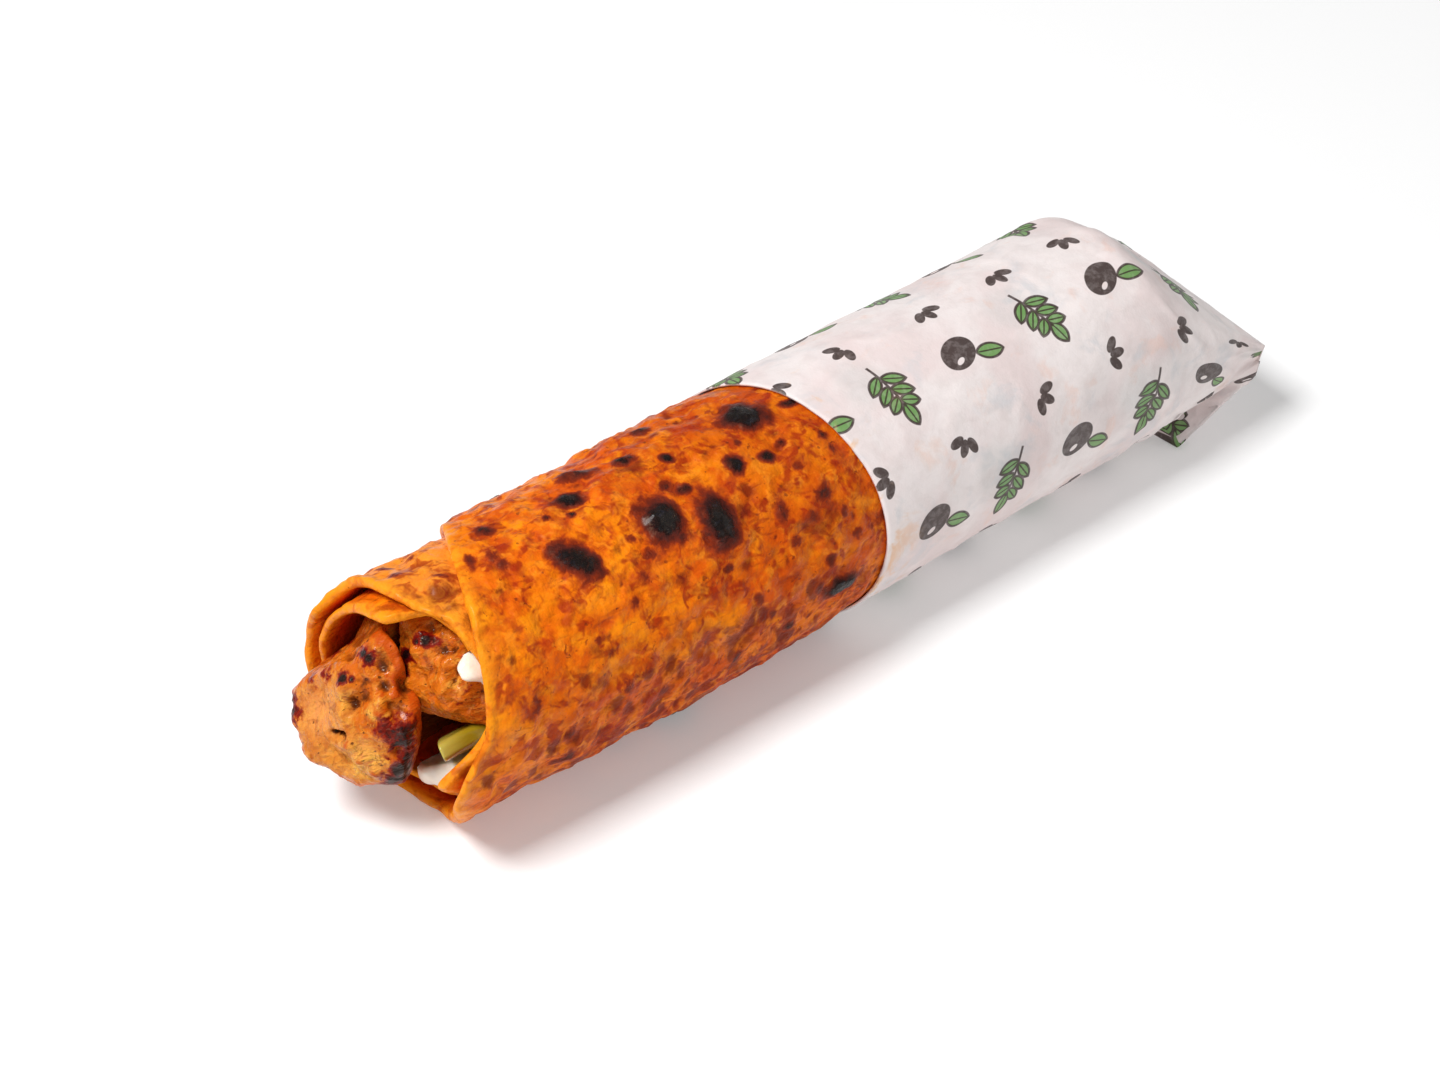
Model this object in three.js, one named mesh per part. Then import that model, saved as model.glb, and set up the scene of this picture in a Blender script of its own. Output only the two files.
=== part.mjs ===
// Shish tawook wrap: a flatbread rolled round chicken, garlic sauce and pickle, with its far half in a
// sleeve of greaseproof paper whose end is flattened, creased and tucked under.
//
// Frame, in millimetres: the roll lies along X with its open end at -X and the folded paper end at +X,
// -Y is the side that shows beside the open end, +Z is up and the floor is z = 0. The origin is at the
// middle of the bottom of the bounding box.
//
// An angle round the roll is measured in degrees from the top (0) through -Y (90), the floor (180) and
// +Y (270). The sheet of bread is one long spiral, so its angle "turn" keeps growing as it winds inward.
import * as THREE from 'three';

// Driving dimensions
const ROLL_R = 29;             // outside radius of the roll
const AXIS_Z = 28.5;           // height of the roll's axis: the bottom is pressed flat by 0.5
const SAG = ROLL_R - AXIS_Z;
const OPEN_TIP_X = -127;       // tip of the chicken at the open end
const CREASE_X = 125;          // straight crease of the paper end, at y = 0
const CREASE_SLANT = 0.075;    // how far the crease leans forward for each millimetre toward +Y
const BREAD_END_X = 86;        // far end of the bread, inside the paper
const FILLING_END_X = 80;      // far end of the filling, inside the bread
const BREAD_T = 2.0;           // thickness of the flatbread
const TURN_PITCH = 2.3;        // drop in radius from one turn of the bread to the next
const TURN_START = -120;       // outer edge of the sheet, low on the +Y side
const TURN_END = 755;          // inner edge of the sheet, near the top
const UNDER_PAPER = 0.8;       // how much the paper squeezes the bread
const PAPER_T = 0.5;           // the layers of paper taken together
const PAPER_R = 29.0;          // outside radius of the paper
const PAPER_X = -7.9;          // near edge of the paper, as x = a + b cos + c sin round the roll
const PAPER_EDGE_Y = 7.9;
const PAPER_EDGE_Z = 2.5;
const FOLD_X = 86;             // where the round paper starts to flatten
const CREASE_Z = 22.5;         // height of the crease
const CREASE_W = 26;           // half its width
const END_WALL = 11.5;         // height of the folded edge below the crease
const FLAP_X = 101.5;          // cut edge of the flap that is tucked under the roll
const FLAP_W = 20.0;           // half its width there
const CELL_R = 19.9;           // the chicken stays inside this radius within the bread
const SAUCE_R = 20.25;         // the sauce lies between this radius and the bread
const TAPER = 0.9;             // how much lower the top is at the far end of the papered half

const DEG = Math.PI / 180;
const clamp = (v, a, b) => Math.min(b, Math.max(a, v));
const mix = (a, b, t) => a + (b - a) * t;
const bump = (v, centre, width) => Math.exp(-(((v - centre) / width) ** 2));

// Smooth step from 0 at a to 1 at b.
function smooth(v, a = 0, b = 1) {
  const t = clamp((v - a) / (b - a), 0, 1);
  return t * t * (3 - 2 * t);
}

// Smooth curve through keys [[at, value, value...], ...] with flat ends (cubic, no overshoot).
function along(keys, at, column = 1) {
  if (at <= keys[0][0]) return keys[0][column];
  const last = keys.length - 1;
  if (at >= keys[last][0]) return keys[last][column];
  const i = keys.findIndex((key) => key[0] > at) - 1;
  const slope = (k) => {
    if (k <= 0 || k >= last) return 0;
    const before = (keys[k][column] - keys[k - 1][column]) / (keys[k][0] - keys[k - 1][0]);
    const after = (keys[k + 1][column] - keys[k][column]) / (keys[k + 1][0] - keys[k][0]);
    return before * after <= 0 ? 0 : (2 * before * after) / (before + after);
  };
  const h = keys[i + 1][0] - keys[i][0];
  const t = (at - keys[i][0]) / h;
  const [a, b] = [keys[i][column], keys[i + 1][column]];
  return a + (b - a) * t * t * (3 - 2 * t) + h * t * (1 - t) * ((1 - t) * slope(i) - t * slope(i + 1));
}

// Point at an angle (degrees), radius and x, with the bottom pressed flat by SAG whatever the radius.
function rollPoint(x, angle, radius) {
  const c = Math.cos(angle * DEG);
  const r = c < 0 ? Math.min(radius, (radius - SAG) / -c) : radius;
  return [x, -r * Math.sin(angle * DEG), AXIS_Z + r * c];
}

// Unevenness of the roll, shared by every turn so that the turns stay apart: low ripples, a pinched
// underside at the open end and a slack belly behind it, both low on the -Y side.
function uneven(x, angle) {
  const a = angle * DEG;
  const ripples = 0.16 * Math.sin(0.11 * x + 2 * a + 0.6) + 0.12 * Math.sin(0.23 * x - 3 * a + 2.1)
    + 0.07 * Math.sin(0.41 * x + 5 * a + 4.0);
  const around = ((angle % 360) + 360) % 360;
  return ripples - 1.9 * bump(around, 126, 34) * (1 - smooth(x, -104, -62))
    + 0.7 * bump(around, 128, 26) * bump(x, -38, 26);
}

const taper = (x, angle) => TAPER * clamp(x / FOLD_X, 0, 1) * (0.5 + 0.5 * Math.cos(angle * DEG));

const paperEdge = (angle) => PAPER_X + PAPER_EDGE_Y * Math.sin(angle * DEG)
  + PAPER_EDGE_Z * Math.cos(angle * DEG);

// ---- closed solids from grids of points -------------------------------------------------------------

function meshFrom(name, points, faces, color, roughness) {
  const geometry = new THREE.BufferGeometry();
  geometry.setAttribute('position', new THREE.Float32BufferAttribute(points.flat(), 3));
  geometry.setIndex(faces.flat());
  geometry.computeVertexNormals();
  const material = new THREE.MeshStandardMaterial({ color, roughness, metalness: 0 });
  const mesh = new THREE.Mesh(geometry, material);
  mesh.name = name;
  return mesh;
}

// A slab between two equal grids: front(i, j) faces out, back(i, j) faces in. Where the grid is round
// in i its last row joins its first.
function slab(name, rows, columns, front, back, round, color, roughness) {
  const points = [];
  const faces = [];
  for (const side of [front, back]) {
    for (let i = 0; i < rows; i += 1) for (let j = 0; j < columns; j += 1) points.push(side(i, j));
  }
  const at = (side, i, j) => side * rows * columns + (i % rows) * columns + j;
  const quad = (a, b, c, d) => faces.push([a, b, c], [a, c, d]);
  const spans = round ? rows : rows - 1;
  for (let i = 0; i < spans; i += 1) {
    for (let j = 0; j < columns - 1; j += 1) {
      quad(at(0, i, j), at(0, i + 1, j), at(0, i + 1, j + 1), at(0, i, j + 1));
      quad(at(1, i, j), at(1, i, j + 1), at(1, i + 1, j + 1), at(1, i + 1, j));
    }
    quad(at(0, i, 0), at(1, i, 0), at(1, i + 1, 0), at(0, i + 1, 0));
    const j = columns - 1;
    quad(at(0, i, j), at(0, i + 1, j), at(1, i + 1, j), at(1, i, j));
  }
  if (!round) {
    const i = rows - 1;
    for (let j = 0; j < columns - 1; j += 1) {
      quad(at(0, 0, j), at(0, 0, j + 1), at(1, 0, j + 1), at(1, 0, j));
      quad(at(0, i, j), at(1, i, j), at(1, i, j + 1), at(0, i, j + 1));
    }
  }
  return meshFrom(name, points, faces, color, roughness);
}

// A strand: closed rings ring(i) of equal length, from -X to +X, with a fan at each end.
function strand(name, rings, color, roughness) {
  const n = rings[0].length;
  const points = rings.flat();
  const faces = [];
  for (let i = 0; i < rings.length - 1; i += 1) {
    for (let j = 0; j < n; j += 1) {
      const [a, b] = [i * n + j, i * n + ((j + 1) % n)];
      faces.push([a, b + n, a + n], [a, b, b + n]);
    }
  }
  const middle = (ring) => [0, 1, 2].map((k) => ring.reduce((sum, p) => sum + p[k], 0) / n);
  const first = points.push(middle(rings[0])) - 1;
  const last = points.push(middle(rings[rings.length - 1])) - 1;
  const base = (rings.length - 1) * n;
  for (let j = 0; j < n; j += 1) {
    const k = (j + 1) % n;
    faces.push([first, k, j], [last, base + j, base + k]);
  }
  return meshFrom(name, points, faces, color, roughness);
}

// ---- flatbread ----------------------------------------------------------------------------------------

// The rim at the open end: [turn, x of the rim, how far the rim leans out]. The outer turn is set back at
// the top and reaches out in a beak low on the -Y side; the turns inside it stand out further.
const RIM = [
  [-120, -72, 0], [-50, -82, 0], [0, -94, 0.2], [42, -102.8, 0.3], [73, -107.4, 0], [91, -114, 0],
  [106, -115.3, -0.2], [128, -112, 0], [165, -107.5, 0], [198, -110, 0.6], [253, -115, 1.4],
  [300, -114.6, 1.0], [316, -109.5, 1.6], [360, -107, 0], [380, -102.6, 0], [420, -101.5, -0.6],
  [440, -106.5, -1.7],
  [461, -116, -3.2], [480, -111, -3.0], [523, -105.5, -2.2], [555, -108, -0.8], [590, -112, 0],
  [640, -113.5, 0], [680, -112, -0.6], [703, -112, -1.3], [716, -112, -0.6], [728, -103.5, 0.2],
  [755, -101.5, 0.2],
];

// Outside radius of the sheet before the flare: each turn drops where the turn outside it ends.
const sheetRadius = (turn) => ROLL_R - TURN_PITCH * (smooth(turn, 150, 240) + smooth(turn, 510, 600));

// Radius of the sheet at a turn and x; depth runs from 0 on its outside to 1 on its inside.
function breadRadius(turn, x, depth) {
  const edge = paperEdge(turn);
  const squeeze = UNDER_PAPER * smooth(x, edge - 7, edge - 1) + taper(x, turn);
  const lumps = uneven(x, turn) * (1 - smooth(x, edge - 12, edge - 1));
  const flare = along(RIM, turn, 2) * Math.exp(-(x - along(RIM, turn)) / 7);
  return sheetRadius(turn) - depth * BREAD_T - squeeze + lumps + flare;
}

function flatbread() {
  const rows = 80;
  // Columns run from the rim to the paper, dip under its edge and go on to the far end.
  const open = [0, 0.007, 0.018, 0.05, 0.11, 0.2, 0.34, 0.5, 0.66, 0.83, 1];
  const dip = [-4.6, -1];
  const hidden = [0.3, 0.65, 1];
  const columns = open.length + dip.length + hidden.length;
  const turnAt = (i) => mix(TURN_START, TURN_END, i / (rows - 1));
  const xAt = (i, j) => {
    const edge = paperEdge(turnAt(i));
    if (j < open.length) return mix(along(RIM, turnAt(i)), edge - 7, open[j]);
    if (j < open.length + dip.length) return edge + dip[j - open.length];
    return mix(edge - 1, BREAD_END_X, hidden[j - open.length - dip.length]);
  };
  // The rim is rounded: both faces draw in a little at their first two columns.
  const inset = (j) => [0.55, 0.22, 0][j] ?? 0;
  const at = (i, j, depth) => rollPoint(xAt(i, j), turnAt(i), breadRadius(turnAt(i), xAt(i, j), depth));
  const front = (i, j) => at(i, j, inset(j) * 0.6);
  const back = (i, j) => at(i, j, 1 - inset(j) * 0.6);
  return slab('flatbread', rows, columns, front, back, false, 0xe8862c, 0.55);
}

// ---- filling ------------------------------------------------------------------------------------------

// Distance from (y, z) along a direction to the walls of a convex cell: lines a y + b z <= c and a circle.
function cellReach(y, z, dy, dz, lines, radius) {
  let reach = Infinity;
  for (const [a, b, c] of lines) {
    const speed = a * dy + b * dz;
    if (speed > 1e-9) reach = Math.min(reach, (c - a * y - b * z) / speed);
  }
  const ahead = y * dy + z * dz;
  const inside = radius * radius - y * y - z * z + ahead * ahead;
  return Math.min(reach, Math.sqrt(Math.max(0, inside)) - ahead);
}

// The filling is parted by two lines of (y, z from the axis), with half a gap on each side.
const HALF_GAP = 0.25;
const NEAR_OF_MIDDLE = [1, -0.1, 4 - HALF_GAP];     // y - 0.1 z < 4: the chicken at the back
const FAR_OF_MIDDLE = [-1, 0.1, -4 - HALF_GAP];     // the front chicken lies beyond it
const FRONT_SLOPE = [0.72, 0.72, 15];               // the front chunk is cut aslant at its upper +Y side
const ABOVE_PICKLE = [-0.3, -1, 3.5 - HALF_GAP];    // the back chicken lies above the pickle

// Chunks of chicken pressed in a row. Each station is [x, y-, y+, z-, z+, y, z], the reach of the chunk to
// each side and its middle, from the axis; the radius follows a squarish oval through them.
function chickenRings(stations, count, power, lines, freeX, phase) {
  const rings = [];
  for (let i = 0; i < stations.length; i += 1) {
    const [x, yMin, yMax, zMin, zMax, centreY, centreZ] = stations[i];
    const ring = [];
    for (let k = 0; k < count; k += 1) {
      const a = (2 * Math.PI * k) / count;
      const [dy, dz] = [-Math.cos(a), -Math.sin(a)];
      const ry = dy < 0 ? centreY - yMin : yMax - centreY;
      const rz = dz < 0 ? centreZ - zMin : zMax - centreZ;
      let r = ((Math.abs(dy) / ry) ** power + (Math.abs(dz) / rz) ** power) ** (-1 / power);
      if (x <= freeX) r = Math.min(r, cellReach(centreY, centreZ, dy, dz, [FRONT_SLOPE], 60));
      r *= 1 + 0.05 * Math.sin(3 * a + 0.21 * x + phase) + 0.035 * Math.sin(7 * a - 0.33 * x + 2 * phase);
      if (x > freeX) r = Math.min(r, cellReach(centreY, centreZ, dy, dz, lines, CELL_R));
      ring.push([x, centreY + r * dy, AXIS_Z + centreZ + r * dz]);
    }
    rings.push(ring);
  }
  return rings;
}

// Stations for the hidden length of a row: chunks about `pitch` long with narrower joints between them.
function rowStations(fromX, toX, pitch, [yMin, yMax, zMin, zMax], [cy, cz]) {
  const list = [];
  const steps = Math.round((toX - fromX) / (pitch / 4));
  for (let i = 1; i <= steps; i += 1) {
    const x = mix(fromX, toX, i / steps);
    const waist = 0.86 + 0.14 * Math.abs(Math.sin((Math.PI * (x - fromX)) / pitch));
    const s = i === steps ? 0.55 : waist;
    const [y0, y1] = [cy + (yMin - cy) * s, cy + (yMax - cy) * s];
    const [z0, z1] = [cz + (zMin - cz) * s, cz + (zMax - cz) * s];
    list.push([x, y0, y1, z0, z1, cy, cz]);
  }
  return list;
}

// The front row: its first chunk stands out of the bread, wide and blunt, and the row narrows behind it.
function chickenFront() {
  const tip = OPEN_TIP_X;
  const stations = [
    [tip, 5, 11, -9, -4, 8, -6.5], [tip + 1, 0, 15, -12, -1, 8, -6], [tip + 3.5, -5, 20, -15.5, 4, 8, -5],
    [tip + 7, -8, 23, -17.5, 9.5, 8, -3.5], [tip + 11, -10.5, 23, -18, 15, 7, -1.5],
    [tip + 15, -10, 20.5, -17, 18.5, 7, -0.5], [tip + 17.3, -6, 19.5, -16, 19, 9, -0.5],
    [tip + 19, 2, 19, -16, 19, 11, -1], [tip + 24, 1, 19, -18, 18, 11, -1],
    [tip + 30, 0, 18.5, -17, 17, 11, -1],
  ];
  const rest = rowStations(tip + 30, FILLING_END_X, 34, [0, 20, -19.5, 19], [11, -1]);
  const rings = chickenRings([...stations, ...rest], 30, 2.5, [FAR_OF_MIDDLE], tip + 18, 1.3);
  return strand('chicken_front', rings, 0xd98a45, 0.5);
}

// The row behind it, set back inside the bread on the -Y side.
function chickenBack() {
  const tip = -107.8;
  const stations = [
    [tip, -9, 0, 3, 12, -5, 8], [tip + 0.8, -12, 3, 1, 15, -5.5, 8], [tip + 2.8, -15.5, 5, -1, 18, -6, 8.5],
    [tip + 6.3, -17.5, 5.5, -2, 20, -6, 8.5], [tip + 10.8, -18, 5.5, -3, 20.4, -6, 8.5],
    [tip + 17.8, -17, 5, -3, 20, -6, 8.5],
  ];
  const rest = rowStations(tip + 17.8, FILLING_END_X, 31, [-19, 5, -4, 20.4], [-6, 8.5]);
  const rings = chickenRings([...stations, ...rest], 26, 2.6, [NEAR_OF_MIDDLE, ABOVE_PICKLE], -Infinity, 4.2);
  return strand('chicken_back', rings, 0xcf7d3a, 0.5);
}

// Pickle: a long flat slice with rounded edges, lying askew below the back chicken.
const PICKLE_Y = -12.2;
const PICKLE_Z = -5.0;
const PICKLE_W = 7.2;           // half width
const PICKLE_T = 2.3;           // half thickness
const PICKLE_TILT = 45;

function pickle() {
  const rings = [];
  const count = 16;
  const xs = [-107.6, -106.9, -104, -96, -84, -70, -55, -40, -25, -10, 5, 20, 30, 31];
  const [ct, st] = [Math.cos(PICKLE_TILT * DEG), Math.sin(PICKLE_TILT * DEG)];
  xs.forEach((x, i) => {
    const s = [0.82, 0.96, 1][Math.min(i, xs.length - 1 - i)] ?? 1;
    const bow = 0.1 * Math.sin(0.09 * x);
    const ring = [];
    for (let k = 0; k < count; k += 1) {
      const a = (2 * Math.PI * k) / count;
      const [c, d] = [Math.cos(a), Math.sin(a)];
      // u runs down and inward along the slice, v across it
      const u = -s * PICKLE_W * Math.sign(c) * Math.abs(c) ** 0.6;
      const v = -s * PICKLE_T * Math.sign(d) * Math.abs(d) ** 0.5;
      ring.push([x + 0.12 * u, PICKLE_Y + u * ct + (v + bow) * st, AXIS_Z + PICKLE_Z - u * st + v * ct]);
    }
    rings.push(ring);
  });
  return strand('pickle', rings, 0x9a9a35, 0.35);
}

// Garlic sauce: spread on the inside of the bread on the -Y side, pooling below the pickle.
const SAUCE_FROM = 39;
const SAUCE_TO = 177;
const SAUCE_END_X = 62;
const POOL_ANGLE = 150;         // the pool faces straight away from this angle,
const POOL_REACH = 15.2;        // and its surface is this far from the axis

const sauceFront = (angle) => -101 - 5.5 * smooth(angle, 84, 112) - 1.6 * bump(angle, 48, 9);

function sauceFaces(angle, x) {
  const facing = Math.cos((angle - POOL_ANGLE) * DEG);
  const inner = Math.min(SAUCE_R, facing > 0 ? POOL_REACH / facing : Infinity);
  const outer = breadRadius(angle + 360, x, 1) - 0.5;
  return [inner, Math.max(outer, inner + 1.2)];
}

function garlicSauce() {
  const rows = 22;
  const shares = [0, 0.008, 0.03, 0.08, 0.18, 0.35, 0.6, 0.85, 1];
  const at = (i, j, face) => {
    const angle = mix(SAUCE_FROM, SAUCE_TO, i / (rows - 1));
    const x = mix(sauceFront(angle), SAUCE_END_X, shares[j]);
    const [inner, outer] = sauceFaces(angle, x);
    const side = Math.min(1, 0.3 + (0.7 * Math.min(i, rows - 1 - i)) / 3);
    const half = ((outer - inner) / 2) * side * (j === 0 ? 0.6 : 1);
    return rollPoint(x, angle, (inner + outer) / 2 + face * half);
  };
  return slab('garlic_sauce', rows, shares.length, (i, j) => at(i, j, 1), (i, j) => at(i, j, -1), false,
    0xf0e2cf, 0.3);
}

// ---- paper --------------------------------------------------------------------------------------------

// The paper's section has SIDES points: the upper arc from one ridge to the other, then the lower path
// through the tuck, the edge of the flap and the bottom. On the round part they lie on a circle.
const ARC = 38;
const LOWER = 22;
const SIDES = ARC + LOWER;
const RIDGE_ANGLE = 126;
const TUCK = 5;                 // steps from a ridge to the tuck
const FLAP = 9;                 // steps from a ridge to the edge of the flap

const CORNER_ANGLE = CREASE_W / (PAPER_R * DEG);    // the arc this side of it becomes the crease

const roundAngle = (k) => (k <= ARC ? mix(-RIDGE_ANGLE, RIDGE_ANGLE, k / ARC)
  : mix(RIDGE_ANGLE, 360 - RIDGE_ANGLE, (k - ARC) / LOWER));

// One point of the section at x: side -1 or 1 is the sign of y.
function paperSection(x, k, inner) {
  const offset = inner ? PAPER_T : 0;
  const angle = roundAngle(k);
  const [, ry, rz] = rollPoint(0, angle, PAPER_R - taper(x, angle) - offset);
  const flat = clamp((x - FOLD_X - 4) / (CREASE_X - FOLD_X - 4), -0.09, 1);
  const end = clamp((x - FOLD_X) / (CREASE_X - FOLD_X), 0, 1);
  const arc = flat < 0.09 ? (flat + 0.09) ** 2 / 0.36 : flat;   // a short bend, then straight
  const ridgeZ = mix(AXIS_Z + PAPER_R * Math.cos(RIDGE_ANGLE * DEG), CREASE_Z - 4 - offset, end ** 1.3);
  const ridgeY = mix(PAPER_R * Math.sin(RIDGE_ANGLE * DEG), CREASE_W, smooth(end, 0, 0.55));
  if (k <= ARC) {
    // Upper arc: from the circle to the straight crease. The ridges follow their own line.
    // Beyond the corner angle the paper fans in to the corner itself, down the edge of the end wall.
    const u = (2 * k) / ARC - 1;
    const shareEnd = Math.abs(u) ** 6;
    const y0 = mix(ry, -Math.sign(u || 1) * ridgeY, shareEnd * smooth(end, 0, 0.3));
    const z0 = mix(rz, ridgeZ, shareEnd * smooth(end, 0, 0.3));
    const beyond = clamp((Math.abs(angle) - CORNER_ANGLE) / (RIDGE_ANGLE - CORNER_ANGLE), 0, 1);
    const across = Math.min(1, Math.abs(angle) / CORNER_ANGLE) * (CREASE_W - 0.8 * beyond - offset);
    const endY = -Math.sign(angle || 1) * across;
    return [mix(y0, endY, arc), mix(z0, CREASE_Z - offset - 4 * beyond, arc)];
  }
  const step = k - ARC;
  const back = Math.min(step, LOWER - step);
  const sign = step <= LOWER / 2 ? -1 : 1;
  const grow = smooth(end, 0, 0.28);
  const flapZ = mix(0.7, CREASE_Z - END_WALL + 0.6, clamp((x - FLAP_X) / (CREASE_X - 2 - FLAP_X), 0, 1));
  const tuckIn = 11 * smooth(end, 0.02, 0.4) * (1 - smooth(end, 0.6, 1));
  const tuck = [ridgeY - tuckIn - offset, mix(ridgeZ, Math.max(flapZ, 1), 0.55)];
  if (inner) {
    // The hollow stays above the tuck: the flap and the tuck are many layers of paper.
    const floorZ = tuck[1] + 1.6;
    const share = clamp(back / TUCK, 0, 1);
    const y = mix(ridgeY - 1.4, Math.min(tuck[0] - 1.2, ridgeY - 1.6), share) * (back > TUCK
      ? 1 - (back - TUCK) / (LOWER / 2 - TUCK) : 1);
    const z = Math.min(mix(ridgeZ - 0.6, floorZ, share), CREASE_Z - 1.5);
    const hollow = smooth(x, FOLD_X + 5, FOLD_X + 15);
    return [mix(ry, sign * y, hollow), mix(rz, Math.max(z, floorZ), hollow)];
  }
  const out = smooth(x, FLAP_X - 1.2, FLAP_X + 0.2);        // the flap starts at its cut edge
  const roundY = Math.abs(rollPoint(0, roundAngle(ARC + FLAP), PAPER_R)[1]);
  const flapY = mix(roundY, mix(FLAP_W, CREASE_W - 1.4, end), out);
  const edge = [flapY, mix(rz, flapZ, out)];
  let y;
  let z;
  if (back <= TUCK) {
    [y, z] = [mix(ridgeY, tuck[0], back / TUCK), mix(ridgeZ, tuck[1], back / TUCK)];
  } else if (back <= FLAP) {
    const t = (back - TUCK) / (FLAP - TUCK);
    [y, z] = [mix(tuck[0], edge[0], t), mix(tuck[1], edge[1], t)];
  } else {
    const t = (back - FLAP) / (LOWER / 2 - FLAP);
    [y, z] = [edge[0] * (1 - t), Math.max(0, mix(edge[1], edge[1] - 0.7, smooth(t, 0, 0.4)))];
  }
  return [mix(ry, sign * y, grow), mix(rz, z, grow)];
}

function wrapPaper() {
  // Columns run from the cut edge to the fold, then by these steps beyond it to the crease.
  const stops = [0, 0.35, 0.7, 1];
  const bends = [3, 6, 9, 12, 14.1, 15.5, 18, 21, 24, 27.5, 31, 34.5, 37, CREASE_X - FOLD_X];
  const columns = stops.length + bends.length;
  const at = (k, j, inner) => {
    const angle = roundAngle(k);
    const depth = inner && j === columns - 1 ? -PAPER_T * 1.6 : 0;
    const x = j < stops.length ? mix(paperEdge(angle), FOLD_X, stops[j])
      : FOLD_X + bends[j - stops.length] + depth;
    const [y, z] = paperSection(x, k, inner);
    const lean = CREASE_SLANT * y - 0.28 * Math.max(0, CREASE_Z - z);
    return [x + (x > FOLD_X ? lean * smooth(x, FOLD_X + 8, CREASE_X) : 0), y, z];
  };
  const mesh = slab('wrap_paper', SIDES, columns, (k, j) => at(k, j, false), (k, j) => at(k, j, true), true,
    0xe9e1dd, 0.6);
  return closeEnd(mesh, SIDES, columns);
}

// The folded end is shut: the strip between the faces there gives way to an outer and an inner wall.
function closeEnd(mesh, rows, columns) {
  const position = [...mesh.geometry.attributes.position.array];
  const index = [...mesh.geometry.index.array];
  const lastOf = (side, i) => side * rows * columns + (i % rows) * columns + columns - 1;
  const isEnd = new Set();
  for (let i = 0; i < rows; i += 1) { isEnd.add(lastOf(0, i)); isEnd.add(lastOf(1, i)); }
  const kept = [];
  for (let i = 0; i < index.length; i += 3) {
    const face = index.slice(i, i + 3);
    if (!face.every((v) => isEnd.has(v))) kept.push(...face);
  }
  // Each wall is a strip of quads between the upper arc and the lower path of the same section.
  const wall = (side) => {
    for (let k = 0; k < ARC / 2 + LOWER / 2 - 1; k += 1) {
      const a = lastOf(side, (ARC / 2 + k) % rows);
      const b = lastOf(side, (ARC / 2 + k + 1) % rows);
      const c = lastOf(side, (ARC / 2 - k - 1 + rows) % rows);
      const d = lastOf(side, (ARC / 2 - k + rows) % rows);
      const faces = side === 0 ? [[a, b, c], [a, c, d]] : [[a, c, b], [a, d, c]];
      for (const face of faces) if (new Set(face).size === 3) kept.push(...face);
    }
    const a = lastOf(side, (ARC / 2 + ARC / 2 + LOWER / 2 - 1) % rows);
    const b = lastOf(side, (ARC / 2 + ARC / 2 + LOWER / 2) % rows);
    const c = lastOf(side, (ARC / 2 - ARC / 2 - LOWER / 2 + 1 + rows) % rows);
    kept.push(...(side === 0 ? [a, b, c] : [a, c, b]));
  };
  wall(0);
  wall(1);
  const points = [];
  for (let i = 0; i < position.length; i += 3) points.push(position.slice(i, i + 3));
  return meshFrom(mesh.name, points, kept, mesh.material.color, mesh.material.roughness);
}

const wrap = new THREE.Group();
wrap.add(flatbread(), chickenFront(), chickenBack(), garlicSauce(), pickle(), wrapPaper());

export default wrap;
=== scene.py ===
"""Shish tawook wrap: the finished surfaces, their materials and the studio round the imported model.

Lengths in the formulas are millimetres in the model's frame: the roll lies along X with its open end at -X,
-Y is the side that shows beside the open end and the floor is z = 0. An angle round the roll runs from the
top (0) through -Y (90), the floor (180) and +Y (270); along the rolled sheet it keeps growing as "turn".
"""
import itertools
import math

import bmesh
import bpy
import numpy as np
from bpy.props import FloatProperty, FloatVectorProperty, PointerProperty
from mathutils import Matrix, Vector


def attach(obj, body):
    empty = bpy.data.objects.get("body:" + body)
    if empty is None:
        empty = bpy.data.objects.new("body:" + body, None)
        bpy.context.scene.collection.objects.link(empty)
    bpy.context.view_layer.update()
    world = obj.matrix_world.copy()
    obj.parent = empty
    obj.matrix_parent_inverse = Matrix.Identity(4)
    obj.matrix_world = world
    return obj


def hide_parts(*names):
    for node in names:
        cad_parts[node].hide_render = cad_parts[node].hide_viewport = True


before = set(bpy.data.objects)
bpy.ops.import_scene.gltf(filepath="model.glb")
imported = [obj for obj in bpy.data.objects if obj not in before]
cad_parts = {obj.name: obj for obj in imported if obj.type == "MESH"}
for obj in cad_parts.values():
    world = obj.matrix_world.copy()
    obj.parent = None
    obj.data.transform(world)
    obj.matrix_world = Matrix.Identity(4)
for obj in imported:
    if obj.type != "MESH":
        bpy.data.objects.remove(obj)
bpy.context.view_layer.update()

bl_info = {
    "name": "Shish Tawook Wrap",
    "version": (1, 0, 0),
    "blender": (4, 5, 0),
    "location": "3D View > Sidebar > Wrap",
    "description": "Builds a flatbread wrap with chicken, garlic sauce, pickle and greaseproof paper",
    "category": "Add Mesh",
}

MM = 0.001
DEG = math.pi / 180

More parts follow.
